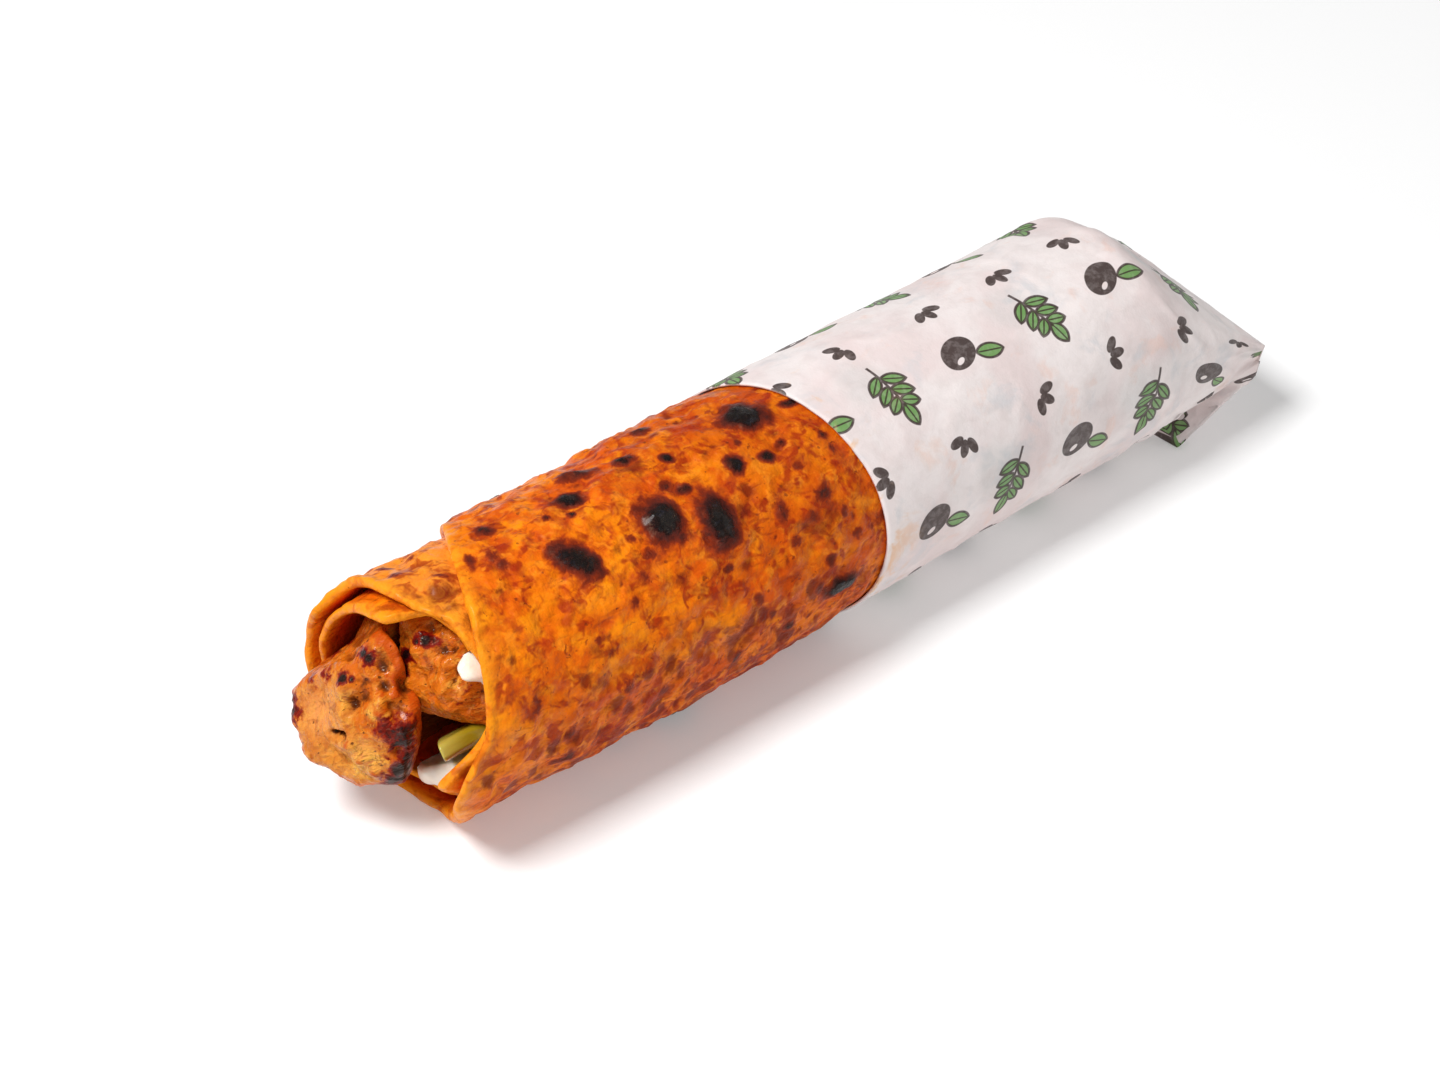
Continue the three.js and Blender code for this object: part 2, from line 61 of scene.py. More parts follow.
# Driving sizes of the roll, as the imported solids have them
ROLL_R = 29.0            # outside radius of the roll
AXIS_Z = 28.5            # height of its axis: the bottom is pressed flat
SAG = ROLL_R - AXIS_Z    # how much of the circle is cut off below
BREAD_T = 2.0            # thickness of the flatbread
TURN_PITCH = 2.3         # drop in radius from one turn to the next
TURN_START = -120.0      # outer edge of the sheet
TURN_END = 755.0         # inner edge of the sheet
BREAD_END_X = 86.0       # far end of the bread, inside the paper
FILLING_END_X = 80.0     # far end of the filling
UNDER_PAPER = 0.8        # how much the paper squeezes the bread
HELD_X = 1.0             # how far before its edge the paper already holds the bread
TAPER = 0.9              # how much lower the top is at the far end
PAPER_T = 0.5            # thickness of the paper's layers taken together
PAPER_R = 29.0           # outside radius of the paper
PAPER_X, PAPER_EDGE_Y, PAPER_EDGE_Z = -7.9, 7.9, 2.5    # its cut edge at the axis, and how far it slants
FOLD_X = 86.0            # where the round paper starts to flatten
CREASE_X = 125.0         # crease of the folded end
CREASE_SLANT = 0.075     # how far the crease slants for each millimetre across
CREASE_Z = 22.5          # its height
CORNER_DROP = 4.0        # how much lower its two corners are
CREASE_W = 26.0          # half the width of the crease
END_WALL = 11.5          # height of the folded edge below the crease
FLAP_X, FLAP_W = 101.5, 20.0     # start of the flap below, half its width there
CELL_R = 19.9            # the chicken stays inside this radius within the bread
SAUCE_R = 20.25          # inner face of the sauce


# ---- formulas ------------------------------------------------------------------------------------------

def mix(a, b, t):
    """Straight blend from a where t is 0 to b where t is 1."""
    return a + (b - a) * t


def smooth(v, a=0.0, b=1.0):
    """Smooth step: 3t^2 - 2t^3, with t running from 0 at a to 1 at b."""
    t = np.clip((v - a) / (b - a), 0, 1)
    return t * t * (3 - 2 * t)


def band(v, a, b, c, d):
    """Rises by a smooth step from a to b and falls by another from c to d."""
    return smooth(v, a, b) * (1 - smooth(v, c, d))


def bump(v, centre, width):
    """Bell: e to the power of minus the squared distance from the centre in widths."""
    return np.exp(-(((v - centre) / width) ** 2))


def along(keys, at, column=1):
    """Cubic through keys (at, value, ...) with the harmonic mean of the neighbouring slopes at each key,
    so that it never overshoots, and flat ends."""
    keys = np.array(keys, float)
    xs, ys = keys[:, 0], keys[:, column]
    slope = np.diff(ys) / np.diff(xs)
    before, after = slope[:-1], slope[1:]
    total = before + after
    inner = np.where(before * after <= 0, 0, 2 * before * after / np.where(total == 0, 1, total))
    slopes = np.concatenate([[0], inner, [0]])
    at = np.clip(at, xs[0], xs[-1])
    i = np.clip(np.searchsorted(xs, at, side="right") - 1, 0, len(xs) - 2)
    h = xs[i + 1] - xs[i]
    t = (at - xs[i]) / h
    eased = ys[i] + (ys[i + 1] - ys[i]) * t * t * (3 - 2 * t)
    return eased + h * t * (1 - t) * ((1 - t) * slopes[i] - t * slopes[i + 1])


def cell_values(seed, *cells):
    """A number from -1 to 1 for each cell: its whole numbers are multiplied by odd constants, joined by
    exclusive or and stirred by shifts."""
    h = np.full(np.broadcast(*cells).shape, (seed * 7919 + 13) % 2**32, np.uint32)
    for cell, odd in zip(cells, (0x9E3779B1, 0x85EBCA77, 0xC2B2AE3D)):
        h = h ^ ((cell.astype(np.int64) & 0xFFFFFFFF).astype(np.uint32) * np.uint32(odd))
        h = (h ^ (h >> np.uint32(15))) * np.uint32(0x2C1B3C6D)
        h = (h ^ (h >> np.uint32(12))) * np.uint32(0x297A2D39)
    h = h ^ (h >> np.uint32(15))
    return h.astype(float) / 2**31 - 1


def noise(seed, *coords):
    """Value noise from -1 to 1: the values of the surrounding cells blended by a fifth-degree step."""
    whole = [np.floor(c) for c in coords]
    step = [(c - w) ** 3 * ((c - w) * ((c - w) * 6 - 15) + 10) for c, w in zip(coords, whole)]
    total = 0
    for corner in itertools.product((0, 1), repeat=len(coords)):
        weight = 1
        for side, share in zip(corner, step):
            weight = weight * (share if side else 1 - share)
        total = total + weight * cell_values(seed, *[w + side for w, side in zip(whole, corner)])
    return total


def fractal(seed, size, octaves, *coords):
    """Noise at a size, half that size and so on, each octave 0.55 times as strong as the last."""
    total, strength, sum_of = 0, 1.0, 0.0
    for octave in range(octaves):
        scale = 2**octave / size
        total = total + strength * noise(seed + 31 * octave, *[c * scale + 17.3 * octave for c in coords])
        sum_of += strength
        strength *= 0.55
    return total / sum_of


def ridges(seed, size, octaves, *coords):
    """Narrow ridges where the noise crosses zero: one minus its size, cubed."""
    return (1 - np.abs(fractal(seed, size, octaves, *coords))) ** 3


SPOT_REACH = 2.6         # beyond so many half lengths a spot is not felt


def spots(table, across, along_it, wobble):
    """The nearness of spots (place across, place along, half length, half width, tilt, strength): for each,
    strength times a step of the distance in half sizes, and the strongest wins. Also the halo round them
    and the height of the domes that they raise."""
    core = np.zeros_like(across)
    halo = np.zeros_like(across)
    dome = np.zeros_like(across)
    for x, s, half_x, half_s, tilt, strength in table:
        c, t = math.cos(tilt * DEG), math.sin(tilt * DEG)
        dx, ds = across - x, along_it - s
        near = np.maximum(np.abs(dx), np.abs(ds)) < SPOT_REACH * max(half_x, half_s)
        if not near.any():
            continue
        dx, ds = dx[near], ds[near]
        q = np.hypot((dx * c + ds * t) / half_x, (-dx * t + ds * c) / half_s) * (1 + wobble[near])
        core[near] = np.maximum(core[near], strength * (1 - smooth(q, 0.2, 1.15)))
        halo[near] = np.maximum(halo[near], (0.3 + 0.7 * strength) * np.exp(-((q / 1.10) ** 3)))
        dome[near] = np.maximum(dome[near], min(half_x, half_s) * strength * (1 - smooth(q, 0.1, 1.2)))
    return core, halo, dome


def roll_point(x, angle, radius):
    """Point at x, an angle and a radius, where the radius below the axis is cut so that no point is lower
    than the flat that the roll rests on."""
    c = np.cos(angle * DEG)
    low = (radius - SAG) / np.where(c < 0, -c, 1)
    r = np.where(c < 0, np.minimum(radius, low), radius)
    x = np.broadcast_to(x, r.shape)
    return np.stack([x, -r * np.sin(angle * DEG), AXIS_Z + r * c], -1)


def arc_length(angle, radius=ROLL_R):
    """Length of the arc from the roll's top to an angle in degrees."""
    return angle * DEG * radius


def uneven(x, angle):
    """Unevenness that all turns share: three low sine ripples, a pinched underside at the open end and a
    slack belly behind it."""
    a = angle * DEG
    ripples = (0.16 * np.sin(0.11 * x + 2 * a + 0.6) + 0.12 * np.sin(0.23 * x - 3 * a + 2.1)
               + 0.07 * np.sin(0.41 * x + 5 * a + 4.0))
    around = np.mod(angle, 360)
    return (ripples - 1.9 * bump(around, 126, 34) * (1 - smooth(x, -104, -62))
            + 0.7 * bump(around, 128, 26) * bump(x, -38, 26))


def taper(x, angle):
    """How much lower the roll gets along x: all of it at the top where the paper folds, none below."""
    return TAPER * np.clip(x / FOLD_X, 0, 1) * (0.5 + 0.5 * np.cos(angle * DEG))


def paper_edge(angle):
    """x of the paper's cut edge, a slanting cut through the roll: a sine and a cosine of the angle."""
    return PAPER_X + PAPER_EDGE_Y * np.sin(angle * DEG) + PAPER_EDGE_Z * np.cos(angle * DEG)


# ---- meshes --------------------------------------------------------------------------------------------

def grid_faces(rows, columns, capped):
    """Corner numbers of the faces of a grid numbered row by row. Its last row joins the first; or, if it is
    capped, each row closes on itself, and a face closes the first row and the last."""
    i = np.arange(rows - capped)[:, None]
    j = np.arange(columns - (not capped))[None, :]
    i1, j1 = (i + 1) % rows, (j + 1) % columns
    corners = [i * columns + j, i1 * columns + j, i1 * columns + j1, i * columns + j1]
    faces = np.stack(np.broadcast_arrays(*corners), -1).reshape(-1, 4).tolist()
    if capped:
        ring = np.arange(columns)
        faces += [ring[::-1].tolist(), (ring + (rows - 1) * columns).tolist()]
    return faces


def put_piece(name, points, capped=False, uv=None, **fields):
    """A mesh object from a grid of points in millimetres. Fields become point attributes and uv a UV map;
    doubles at poles and seams are merged, and the faces are turned outwards if the enclosed volume is
    negative."""
    grid = points.shape[:2]
    mesh = bpy.data.meshes.new(name)
    mesh.from_pydata((points.reshape(-1, 3) * MM).tolist(), [], grid_faces(*grid, capped))
    for field, values in fields.items():
        layer = mesh.attributes.new(field, "FLOAT", "POINT")
        layer.data.foreach_set("value", np.broadcast_to(values, grid).astype(np.float32).ravel())
    if uv is not None:
        layer = mesh.uv_layers.new(name="UVMap")
        corner = np.zeros(len(mesh.loops), np.int32)
        mesh.loops.foreach_get("vertex_index", corner)
        layer.data.foreach_set("uv", uv.reshape(-1, 2)[corner].astype(np.float32).ravel())
    work = bmesh.new()
    work.from_mesh(mesh)
    bmesh.ops.remove_doubles(work, verts=work.verts, dist=1e-6)
    bmesh.ops.dissolve_degenerate(work, edges=work.edges, dist=1e-7)
    if work.calc_volume(signed=True) < 0:
        bmesh.ops.reverse_faces(work, faces=work.faces)
    work.to_mesh(mesh)
    work.free()
    mesh.polygons.foreach_set("use_smooth", np.ones(len(mesh.polygons), bool))
    piece = bpy.data.objects.new(name, mesh)
    bpy.context.scene.collection.objects.link(piece)
    return piece


def dress(piece, material, node):
    """Gives a piece its material, hangs it under the root body and hides the imported part that it replaces.
    """
    piece.data.materials.append(material)
    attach(piece, "root")
    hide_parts(node)
    return piece


def close_end(points):
    """Draws the end of a strand together: one more column of points, all in the middle of the last."""
    end = points[:, -1].mean(0)
    return np.concatenate([points, np.broadcast_to(end, (len(points), 1, 3))], 1)


def grid_normals(points):
    """Unit normals of a grid whose last row joins the first: the cross product of its differences along
    rows and columns."""
    padded = np.concatenate([points[-1:], points, points[:1]])
    down = (padded[2:] - padded[:-2]) / 2
    n = np.cross(down, np.gradient(points, axis=1))
    return n / np.maximum(np.linalg.norm(n, axis=-1, keepdims=True), 1e-9)


# ---- flatbread -----------------------------------------------------------------------------------------

# The rim at the open end: turn, x of the rim, how far the rim leans out
RIM = [
    (-120, -72, 0), (-50, -82, 0), (0, -94, 0.2), (42, -102.8, 0.3), (73, -107.4, 0), (91, -114, 0),
    (106, -115.3, -0.2), (128, -112, 0), (165, -107.5, 0), (198, -110, 0.6), (253, -115, 1.4),
    (300, -114.6, 1.0), (316, -109.5, 1.6), (360, -107, 0), (380, -102.6, 0), (420, -101.5, -0.6),
    (440, -106.5, -1.7), (461, -116, -3.2), (480, -111, -3.0), (523, -105.5, -2.2), (555, -108, -0.8),
    (590, -112, 0), (640, -113.5, 0), (680, -112, -0.6), (703, -112, -1.3), (716, -112, -0.6),
    (728, -103.5, 0.2), (755, -101.5, 0.2),
]

# Creases in the bread: x and angle of both ends, depth
CREASES = [
    (-44.2, 32, -40.8, 68, 0.7), (-31, 40, -36, 62, 0.4), (-66, 34, -60, 60, 0.4),
    (-52, 62, -44, 84, 0.4), (-90, 30, -80, 52, 0.45), (-98, 84, -84, 108, 0.5),
    (-74, 70, -66, 96, 0.4), (-22, 64, -14, 82, 0.35), (-96, 44, -92, 74, 0.4),
    (-58, 84, -50, 110, 0.4), (-36, 92, -26, 112, 0.4), (-80, -6, -72, 14, 0.4),
    (-50, 200, -44, 236, 0.5), (-84, 215, -70, 250, 0.5), (-28, 262, -36, 296, 0.5),
    (-66, 270, -60, 300, 0.4),
]

# Char on the shown side of the bread: x, angle, half length, half width, tilt in degrees, darkness
CHAR = [
    (-17, 1, 6.0, 4.4, 38, 1.0), (-50, 27, 5.3, 5.8, 0, 1.0), (-38.5, 38, 4.4, 7.2, 6, 1.0),
    (-72, 25, 6.4, 4.0, 62, 0.9), (-63, -3, 3.5, 2.5, 32, 0.95), (-27.7, 21, 2.1, 2.8, 0, 0.9),
    (-20, 24, 2.0, 1.7, 0, 0.9), (-39, 2, 1.9, 1.5, 30, 0.9), (-46, -9.5, 2.9, 2.1, 35, 0.8),
    (-56, -17, 4.6, 3.0, 20, 0.55), (-82, -12, 2.3, 2.1, 0, 0.65), (-70.5, 0.5, 1.0, 1.0, 0, 0.6),
    (-65.5, 4.5, 1.3, 1.2, 0, 0.8), (-44, 14, 1.6, 1.4, 0, 0.5), (-41, 19, 2.3, 1.5, 25, 0.7),
    (-13, 49, 2.3, 2.5, 0, 0.5), (-24, 47, 1.8, 3.0, 10, 0.45), (-13.6, 93, 5.6, 2.4, 4, 0.95),
    (-5.6, 27, 1.5, 1.4, 0, 0.5), (-5.6, 34, 1.2, 1.3, 0, 0.4), (-6, 5, 2.4, 1.2, 30, 0.7),
    (-15, 21, 1.5, 1.2, 0, 0.6), (-23.5, 12, 1.3, 1.1, 0, 0.5), (-8, 72, 1.3, 1.8, 0, 0.4),
    (-35, -25, 2.6, 2.2, 0, 0.65), (-86, 6, 1.6, 4.5, 0, 0.35), (-33, 88, 1.2, 1.7, 0, 0.45),
    (-43, 103, 1.6, 2.2, 20, 0.45), (-28, 101, 2.0, 1.5, 0, 0.6), (-41, 58, 1.4, 1.2, 0, 0.5),
    (-57, 37, 1.9, 1.6, 0, 0.25), (-61, 44, 1.8, 2.0, 0, 0.3), (-88, 107, 2.2, 2.7, 10, 0.45),
    (-63, 99, 2.0, 2.2, 0, 0.35), (-15, 34, 1.6, 1.3, 0, 0.35), (-18, 56, 2.5, 1.8, 30, 0.3),
    (-58.6, 27.3, 1.2, 1.3, 0, 0.4), (-65.5, 51.4, 1.2, 1.5, 0, 0.35), (-87.7, 92.8, 1.7, 2.6, 15, 0.45),
    (-94.8, 69.7, 2.0, 3.0, 20, 0.25), (-72.6, 83, 1.5, 2.3, 10, 0.3), (-90.2, 108, 2.4, 1.8, 0, 0.4),
    (-0.9, 71.9, 1.4, 1.8, 0, 0.3), (-16.2, 77.7, 1.6, 2.2, 20, 0.35), (-36, 78.1, 1.3, 1.8, 0, 0.3),
    (-10, 60, 1.2, 1.6, 0, 0.35), (-23.5, 61.8, 1.4, 1.6, 0, 0.3), (-76.2, 58.1, 1.3, 1.2, 0, 0.25),
    (-50.5, 84, 1.3, 2.0, 15, 0.35), (-20, 88, 1.5, 2.1, 10, 0.4), (-90.5, 1, 1.2, 2.6, 20, 0.4),
    # on the second layer, beside the open end
    (-102.4, 328, 2.6, 1.3, 60, 0.3), (-103.2, 341, 2.2, 1.4, 50, 0.3), (-97, 358, 2.4, 1.1, 70, 0.25),
    (-96.4, 331, 1.2, 1.4, 0, 0.35), (-110.2, 319, 1.0, 1.6, 0, 0.3),
]


CHAR_COUNT = 34          # seeded char spots on the sides that the photo leaves out
BLOTCH_COUNT = 1150      # seeded blotches, before those high up are thinned out
SHOWN_TURN = 250.0       # the sheet's outside shows up to this turn, so it is meshed finer there
RIM_ROUND = 1.0          # how far the rim is rounded
FLARE_X = 7.0            # how far along the roll the lean of the rim reaches
OUTSIDE_STEPS, INSIDE_STEPS, RIM_STEPS = 116, 26, 9
FLOOR_GAP = 0.06         # height of the lowest points above the floor


def sheet_radius(turn):
    """Outside radius of the sheet: it drops by the pitch where the turn outside it ends."""
    return ROLL_R - TURN_PITCH * (smooth(turn, 150, 240) + smooth(turn, 510, 600))


def rim_x(turn):
    """x of the rim at a turn."""
    return along(RIM, turn)


def bread_radius(turn, x, depth):
    """Radius of the sheet: its turn's own, less the depth inside it, the squeeze of the paper and the taper,
    plus the roll's unevenness and the lean of the rim, which fades by e over every FLARE_X."""
    edge = paper_edge(turn)
    squeeze = UNDER_PAPER * smooth(x, edge - 7, edge - HELD_X) + taper(x, turn)
    lumps = uneven(x, turn) * (1 - smooth(x, edge - 12, edge - HELD_X))
    flare = along(RIM, turn, 2) * np.exp(-(x - rim_x(turn)) / FLARE_X)
    return sheet_radius(turn) - depth * BREAD_T - squeeze + lumps + flare


def crease_depth(x, turn):
    """Depth of the creases: each is a bell across its line, which fades toward both ends."""
    total = np.zeros_like(x)
    s = arc_length(turn)
    for x0, angle0, x1, angle1, depth in CREASES:
        s0, s1 = arc_length(angle0), arc_length(angle1)
        length = math.hypot(x1 - x0, s1 - s0)
        ux, us = (x1 - x0) / length, (s1 - s0) / length
        ahead = (x - x0) * ux + (s - s0) * us
        aside = (x - x0) * us - (s - s0) * ux + 0.9 * np.sin(0.7 * ahead + x0)
        total += (depth * bump(aside, 0, 0.9) * smooth(ahead, -1, 0.3 * length)
                  * (1 - smooth(ahead, 0.6 * length, length + 1)))
    return total


def char_table():
    """The char on the shown side, and seeded char of like sizes on the sides that the photo leaves out."""
    rng = np.random.default_rng(41)
    table = [(x, arc_length(angle), *rest) for x, angle, *rest in CHAR]
    for _ in range(CHAR_COUNT):
        x, angle = rng.uniform(-92, -14), rng.uniform(135, 300)
        half = rng.choice([1.2, 1.6, 2.2, 3.4, 5.0], p=[0.3, 0.25, 0.2, 0.15, 0.1])
        sides = (half * rng.uniform(0.9, 1.2), half * rng.uniform(0.75, 1.1))
        place = arc_length(angle - 360 * (angle > 240))
        table.append((x, place, *sides, rng.uniform(0, 90), 0.45 + 0.11 * half))
    return table


def blotch_table():
    """Seeded red-brown blotches: small and round above, longer round the roll and closer together below."""
    rng = np.random.default_rng(7)
    table = []
    for _ in range(BLOTCH_COUNT):
        turn = rng.uniform(TURN_START, TURN_END)
        low = float(band(np.mod(turn, 360), 55, 110, 200, 260))
        if rng.uniform() > 0.55 + 0.45 * low:
            continue
        half = rng.uniform(0.5, 1.3) + rng.uniform(0, 1) ** 3 * 2.0
        table.append((rng.uniform(-116, -2), arc_length(turn), half * rng.uniform(0.6, 1.3 - 0.4 * low),
                      half * (1 + 0.5 * low), rng.uniform(-30, 30), rng.uniform(0.2, 0.66) + 0.42 * low))
    return table


def bread_profile(turn):
    """For each turn, x and depth along a closed line: along the outside to the rim, round it and back along
    the inside. Where the next turn covers the sheet, the points crowd toward the rim."""
    outside = np.linspace(0, 1, OUTSIDE_STEPS)
    inside = np.linspace(0, 1, INSIDE_STEPS)
    crowd = 1 + 1.6 * smooth(turn, 225, 262)[:, None]
    start, end = rim_x(turn)[:, None], paper_edge(turn)[:, None] - HELD_X
    hidden = np.array([1.0, 0.66, 0.33])[None, :]
    x_out = start + RIM_ROUND + (end - start - RIM_ROUND) * outside[::-1][None, :] ** crowd
    x_in = start + RIM_ROUND + (end - start - RIM_ROUND) * inside[None, :] ** 2.2
    x_far = end + (BREAD_END_X - end) * hidden
    round_it = np.linspace(0, math.pi, RIM_STEPS)[1:-1]
    x_rim = start + RIM_ROUND * (1 - np.sin(round_it)[None, :])
    d_rim = np.broadcast_to((1 - np.cos(round_it)) / 2, (len(turn), len(round_it)))
    x = np.concatenate([x_far, x_out, x_rim, x_in, x_far[:, ::-1]], 1)
    nothing, whole = np.zeros_like, np.ones_like
    depth = np.concatenate([nothing(x_far), nothing(x_out), d_rim, whole(x_in), whole(x_far)], 1)
    return x, depth


def build_flatbread(blisters):
    """The rolled sheet: the closed profile carried along the spiral. Its outside is lifted by soft lumps,
    fine wrinkles and a dome under each char spot, less where the next turn covers it."""
    turn = np.concatenate([np.linspace(TURN_START, SHOWN_TURN, 322),
                           np.linspace(SHOWN_TURN + 2.2, TURN_END, 228)])
    x, depth = bread_profile(turn)
    t = np.broadcast_to(turn[:, None], x.shape)
    s = arc_length(t)
    outer = 1 - smooth(depth, 0.0, 0.6)
    wobble = 0.20 * fractal(5, 3.0, 2, x, s)
    core, halo, dome = spots(char_table(), x, s, wobble)
    blot, blot_halo, _ = spots(blotch_table(), x, s, 0.60 * fractal(6, 2.2, 3, x, s))
    covered = smooth(t, 230, 262) * smooth(x, rim_x(t - 360) - 3.0, rim_x(t - 360) + 1.0)
    free = (1 - 0.9 * covered) * (1 - smooth(x, paper_edge(t) - 5, paper_edge(t) - HELD_X))
    lumps = (0.34 * fractal(11, 12.0, 2, x, s) + 0.80 * fractal(12, 5.2, 2, x, s)
             + 0.32 * fractal(14, 2.5, 2, x, s))
    wrinkles = 0.40 * ridges(13, 7.0, 2, x, 0.6 * s + 0.3 * x) - 0.16
    crumple = 0.42 * core * fractal(15, 2.0, 2, x, s)
    relief = lumps + wrinkles + blisters * (0.36 * dome + crumple) - 0.12 * blot - crease_depth(x, t)
    inner_relief = 0.10 * fractal(16, 5.0, 2, x, s)
    near_rim = np.exp(-np.maximum(x - rim_x(t) - 0.9, 0) / 1.7)
    edge_wave = 0.55 * fractal(17, 7.0, 3, s, 0 * s + 3.3) * np.exp(-(x - rim_x(t)) / 9)
    radius = bread_radius(t, x, depth) + free * outer * relief - (1 - outer) * inner_relief * near_rim
    points = roll_point(x + edge_wave, t, radius)
    points[..., 2] = np.maximum(points[..., 2], FLOOR_GAP)
    # the inner face just behind the rim, which the material paints with the red of light bounced and shone
    # through inside the roll
    inside = smooth(depth, 0.5, 1.0) * smooth(x, rim_x(t) + 0.5, rim_x(t) + 5)
    # the underside, less of it toward the open end: the material lays painted shade and red-brown smears on
    # it
    low = band(np.mod(t, 360), 40, 120, 215, 270) * (0.20 + 0.80 * smooth(x, -106, -64))
    brown = smooth(x, -62, -12) * (1 - low) * outer
    under = band(t, 240, 300, 470, 520) * outer
    return put_piece("flatbread_sheet", points, capped=True, char=core * outer, halo=halo * outer,
                     blotch=np.maximum(blot, 0.6 * blot_halo) * (0.4 + 0.6 * outer),
                     rim=near_rim, inside=inside, low=low, under=under, brown=brown)


# ---- chicken -------------------------------------------------------------------------------------------

def unit(x, y, z):
    """A direction brought to length one."""
    length = math.sqrt(x * x + y * y + z * z)
    return (x / length, y / length, z / length)


CHUNK_R = 16.0           # rough radius of a chunk
DENT_DEPTH = 1.6         # all pits and swellings, as a share of their tabled depth
FACET_POWER = 22.0       # how crisply a chunk's facets meet
ROW_POWER = 2.6          # how square the hidden rows' section is: an oval has 2
ROUND_STEPS, SWING_STEPS = 271, 100
FRONT_CENTRE = (-113.0, 6.5, 27.0)
FRONT_CUT = (1.0, 1.0, 0.25)     # how much of the cut meat its first facets show
FRONT_FACETS = [
    # the cut end above and below its slit, the shoulder beside the ridge, the scorched side
    (unit(-0.90, 0.01, 0.44), (-123.6, 6.0, 30.8)),
    (unit(-0.87, -0.50, -0.02), (-122.9, -3.8, 26.0)),
    (unit(-0.66, -0.54, 0.52), (-119.2, -5.0, 33.2)),
    (unit(-0.30, -0.95, -0.06), (-117.2, -10.0, 24.0)),
    # the browned slope behind the ridge, the top, the slope toward the back row, the far slope
    (unit(-0.70, 0.08, 0.71), (-117.6, 5.0, 41.0)),
    (unit(-0.36, -0.10, 0.93), (-112.5, 3.0, 45.2)),
    (unit(-0.40, -0.66, 0.64), (-114.3, -5.0, 41.3)),
    (unit(-0.20, 0.70, 0.68), (-115.0, 11.4, 38.6)),
    # the sides that turn away below the back row and above the sauce
    (unit(0.50, -0.86, 0.0), (-112.6, -10.0, 33.0)),
    (unit(0.50, -0.80, -0.30), (-115.0, -9.8, 22.0)),
    # the far side, its front corner, the bottom and the slopes that run up from it
    (unit(-0.15, 1.0, -0.02), (-117.0, 22.6, 25.0)),
    (unit(-0.76, 0.58, -0.28), (-124.4, 17.4, 22.0)),
    (unit(-0.12, 0.05, -0.99), (-116.0, 6.0, 10.2)),
    (unit(-0.70, -0.05, -0.71), (-124.0, 5.0, 14.2)),
    (unit(-0.42, -0.49, -0.76), (-121.3, -8.4, 18.6)),
]
BACK_CENTRE = (-97.0, -6.0, 37.0)
BACK_CUT = (0.25, 0.25, 0.3)
BACK_FACETS = [
    # the front above and below, its near shoulder, the top, the near slope, the far side, the bottom
    (unit(-0.93, -0.12, 0.34), (-109.0, -5.0, 36.4)),
    (unit(-0.82, -0.36, -0.45), (-108.0, -8.4, 32.4)),
    (unit(-0.60, -0.79, 0.12), (-105.2, -14.0, 37.0)),
    (unit(-0.22, -0.10, 0.97), (-101.5, -5.0, 47.8)),
    (unit(-0.28, -0.62, 0.73), (-102.2, -12.4, 44.2)),
    (unit(-0.55, 0.83, -0.07), (-108.8, 2.0, 41.0)),
    (unit(-0.25, -0.28, -0.93), (-104.0, -9.0, 27.6)),
]

# Pits and swellings of the chunks: x, y, z, radius, depth (negative swells), how much painted shade it gets
FRONT_DENTS = [
    # the slit in the cut end, the hollow behind the ridge and the valley toward the back row
    (-125.4, 3.2, 26.8, 1.0, 1.3, 0.9), (-125.2, 2.0, 27.3, 0.9, 1.9, 1.2),
    (-125.0, 0.9, 27.9, 0.85, 2.1, 1.3),
    (-124.6, -0.1, 28.5, 0.75, 1.6, 1.2), (-120.6, 0.8, 34.6, 2.2, 1.9, 0.85),
    (-119.2, -0.8, 37.0, 2.0, 1.3, 0.5),
    (-117.6, 0.6, 39.6, 2.6, 1.2, 0.35), (-113.6, -1.0, 43.6, 2.6, 1.6, 0.55),
    (-115.4, -3.8, 40.2, 2.0, 1.5, 0.6),
    (-116.6, -6.4, 36.6, 1.5, 1.1, 0.4), (-114.0, -7.2, 35.2, 2.2, 1.2, 0.5),
    (-115.8, 8.4, 41.6, 2.6, 1.1, 0.35),
    # where the chunk behind it lies in front; the ridge and the strands on the shoulder
    (-110.9, -6.6, 42.4, 3.0, 2.6, 0.4), (-110.8, -8.8, 40.2, 3.3, 3.8, 0.5),
    (-109.6, -2.6, 44.6, 2.4, 0.8, 0.3),
    (-121.6, 4.6, 36.4, 2.2, -1.0, 0.0), (-122.8, 2.4, 32.4, 1.7, -0.8, 0.0),
    (-123.8, -1.2, 27.4, 1.5, -1.2, 0.0),
    (-123.2, -3.2, 24.4, 1.7, -1.1, 0.0), (-121.8, -5.8, 21.4, 1.9, -0.9, 0.0),
    (-118.8, -4.6, 35.4, 2.4, -1.3, 0.0),
    (-120.2, -5.6, 31.6, 2.4, -0.8, 0.0), (-117.2, -8.6, 32.2, 1.8, -0.7, 0.0),
    # the cut end's shallow hollows and its uneven lower lip
    (-124.6, 9.6, 29.4, 3.6, 0.9, 0.1), (-125.4, 3.8, 22.4, 2.6, 1.4, 0.3),
    (-124.4, 0.6, 20.6, 2.2, 1.2, 0.3),
    (-123.2, 11.6, 32.8, 1.8, 0.7, 0.2), (-126.0, 8.2, 19.0, 2.4, -0.8, 0.0),
    (-124.4, 5.4, 15.8, 1.8, 0.9, 0.3),
    (-125.4, 14.2, 24.0, 2.2, -0.7, 0.0), (-122.0, -1.6, 15.6, 2.0, -0.6, 0.0),
    (-117.6, -9.6, 26.6, 1.4, 0.9, 0.5),
]
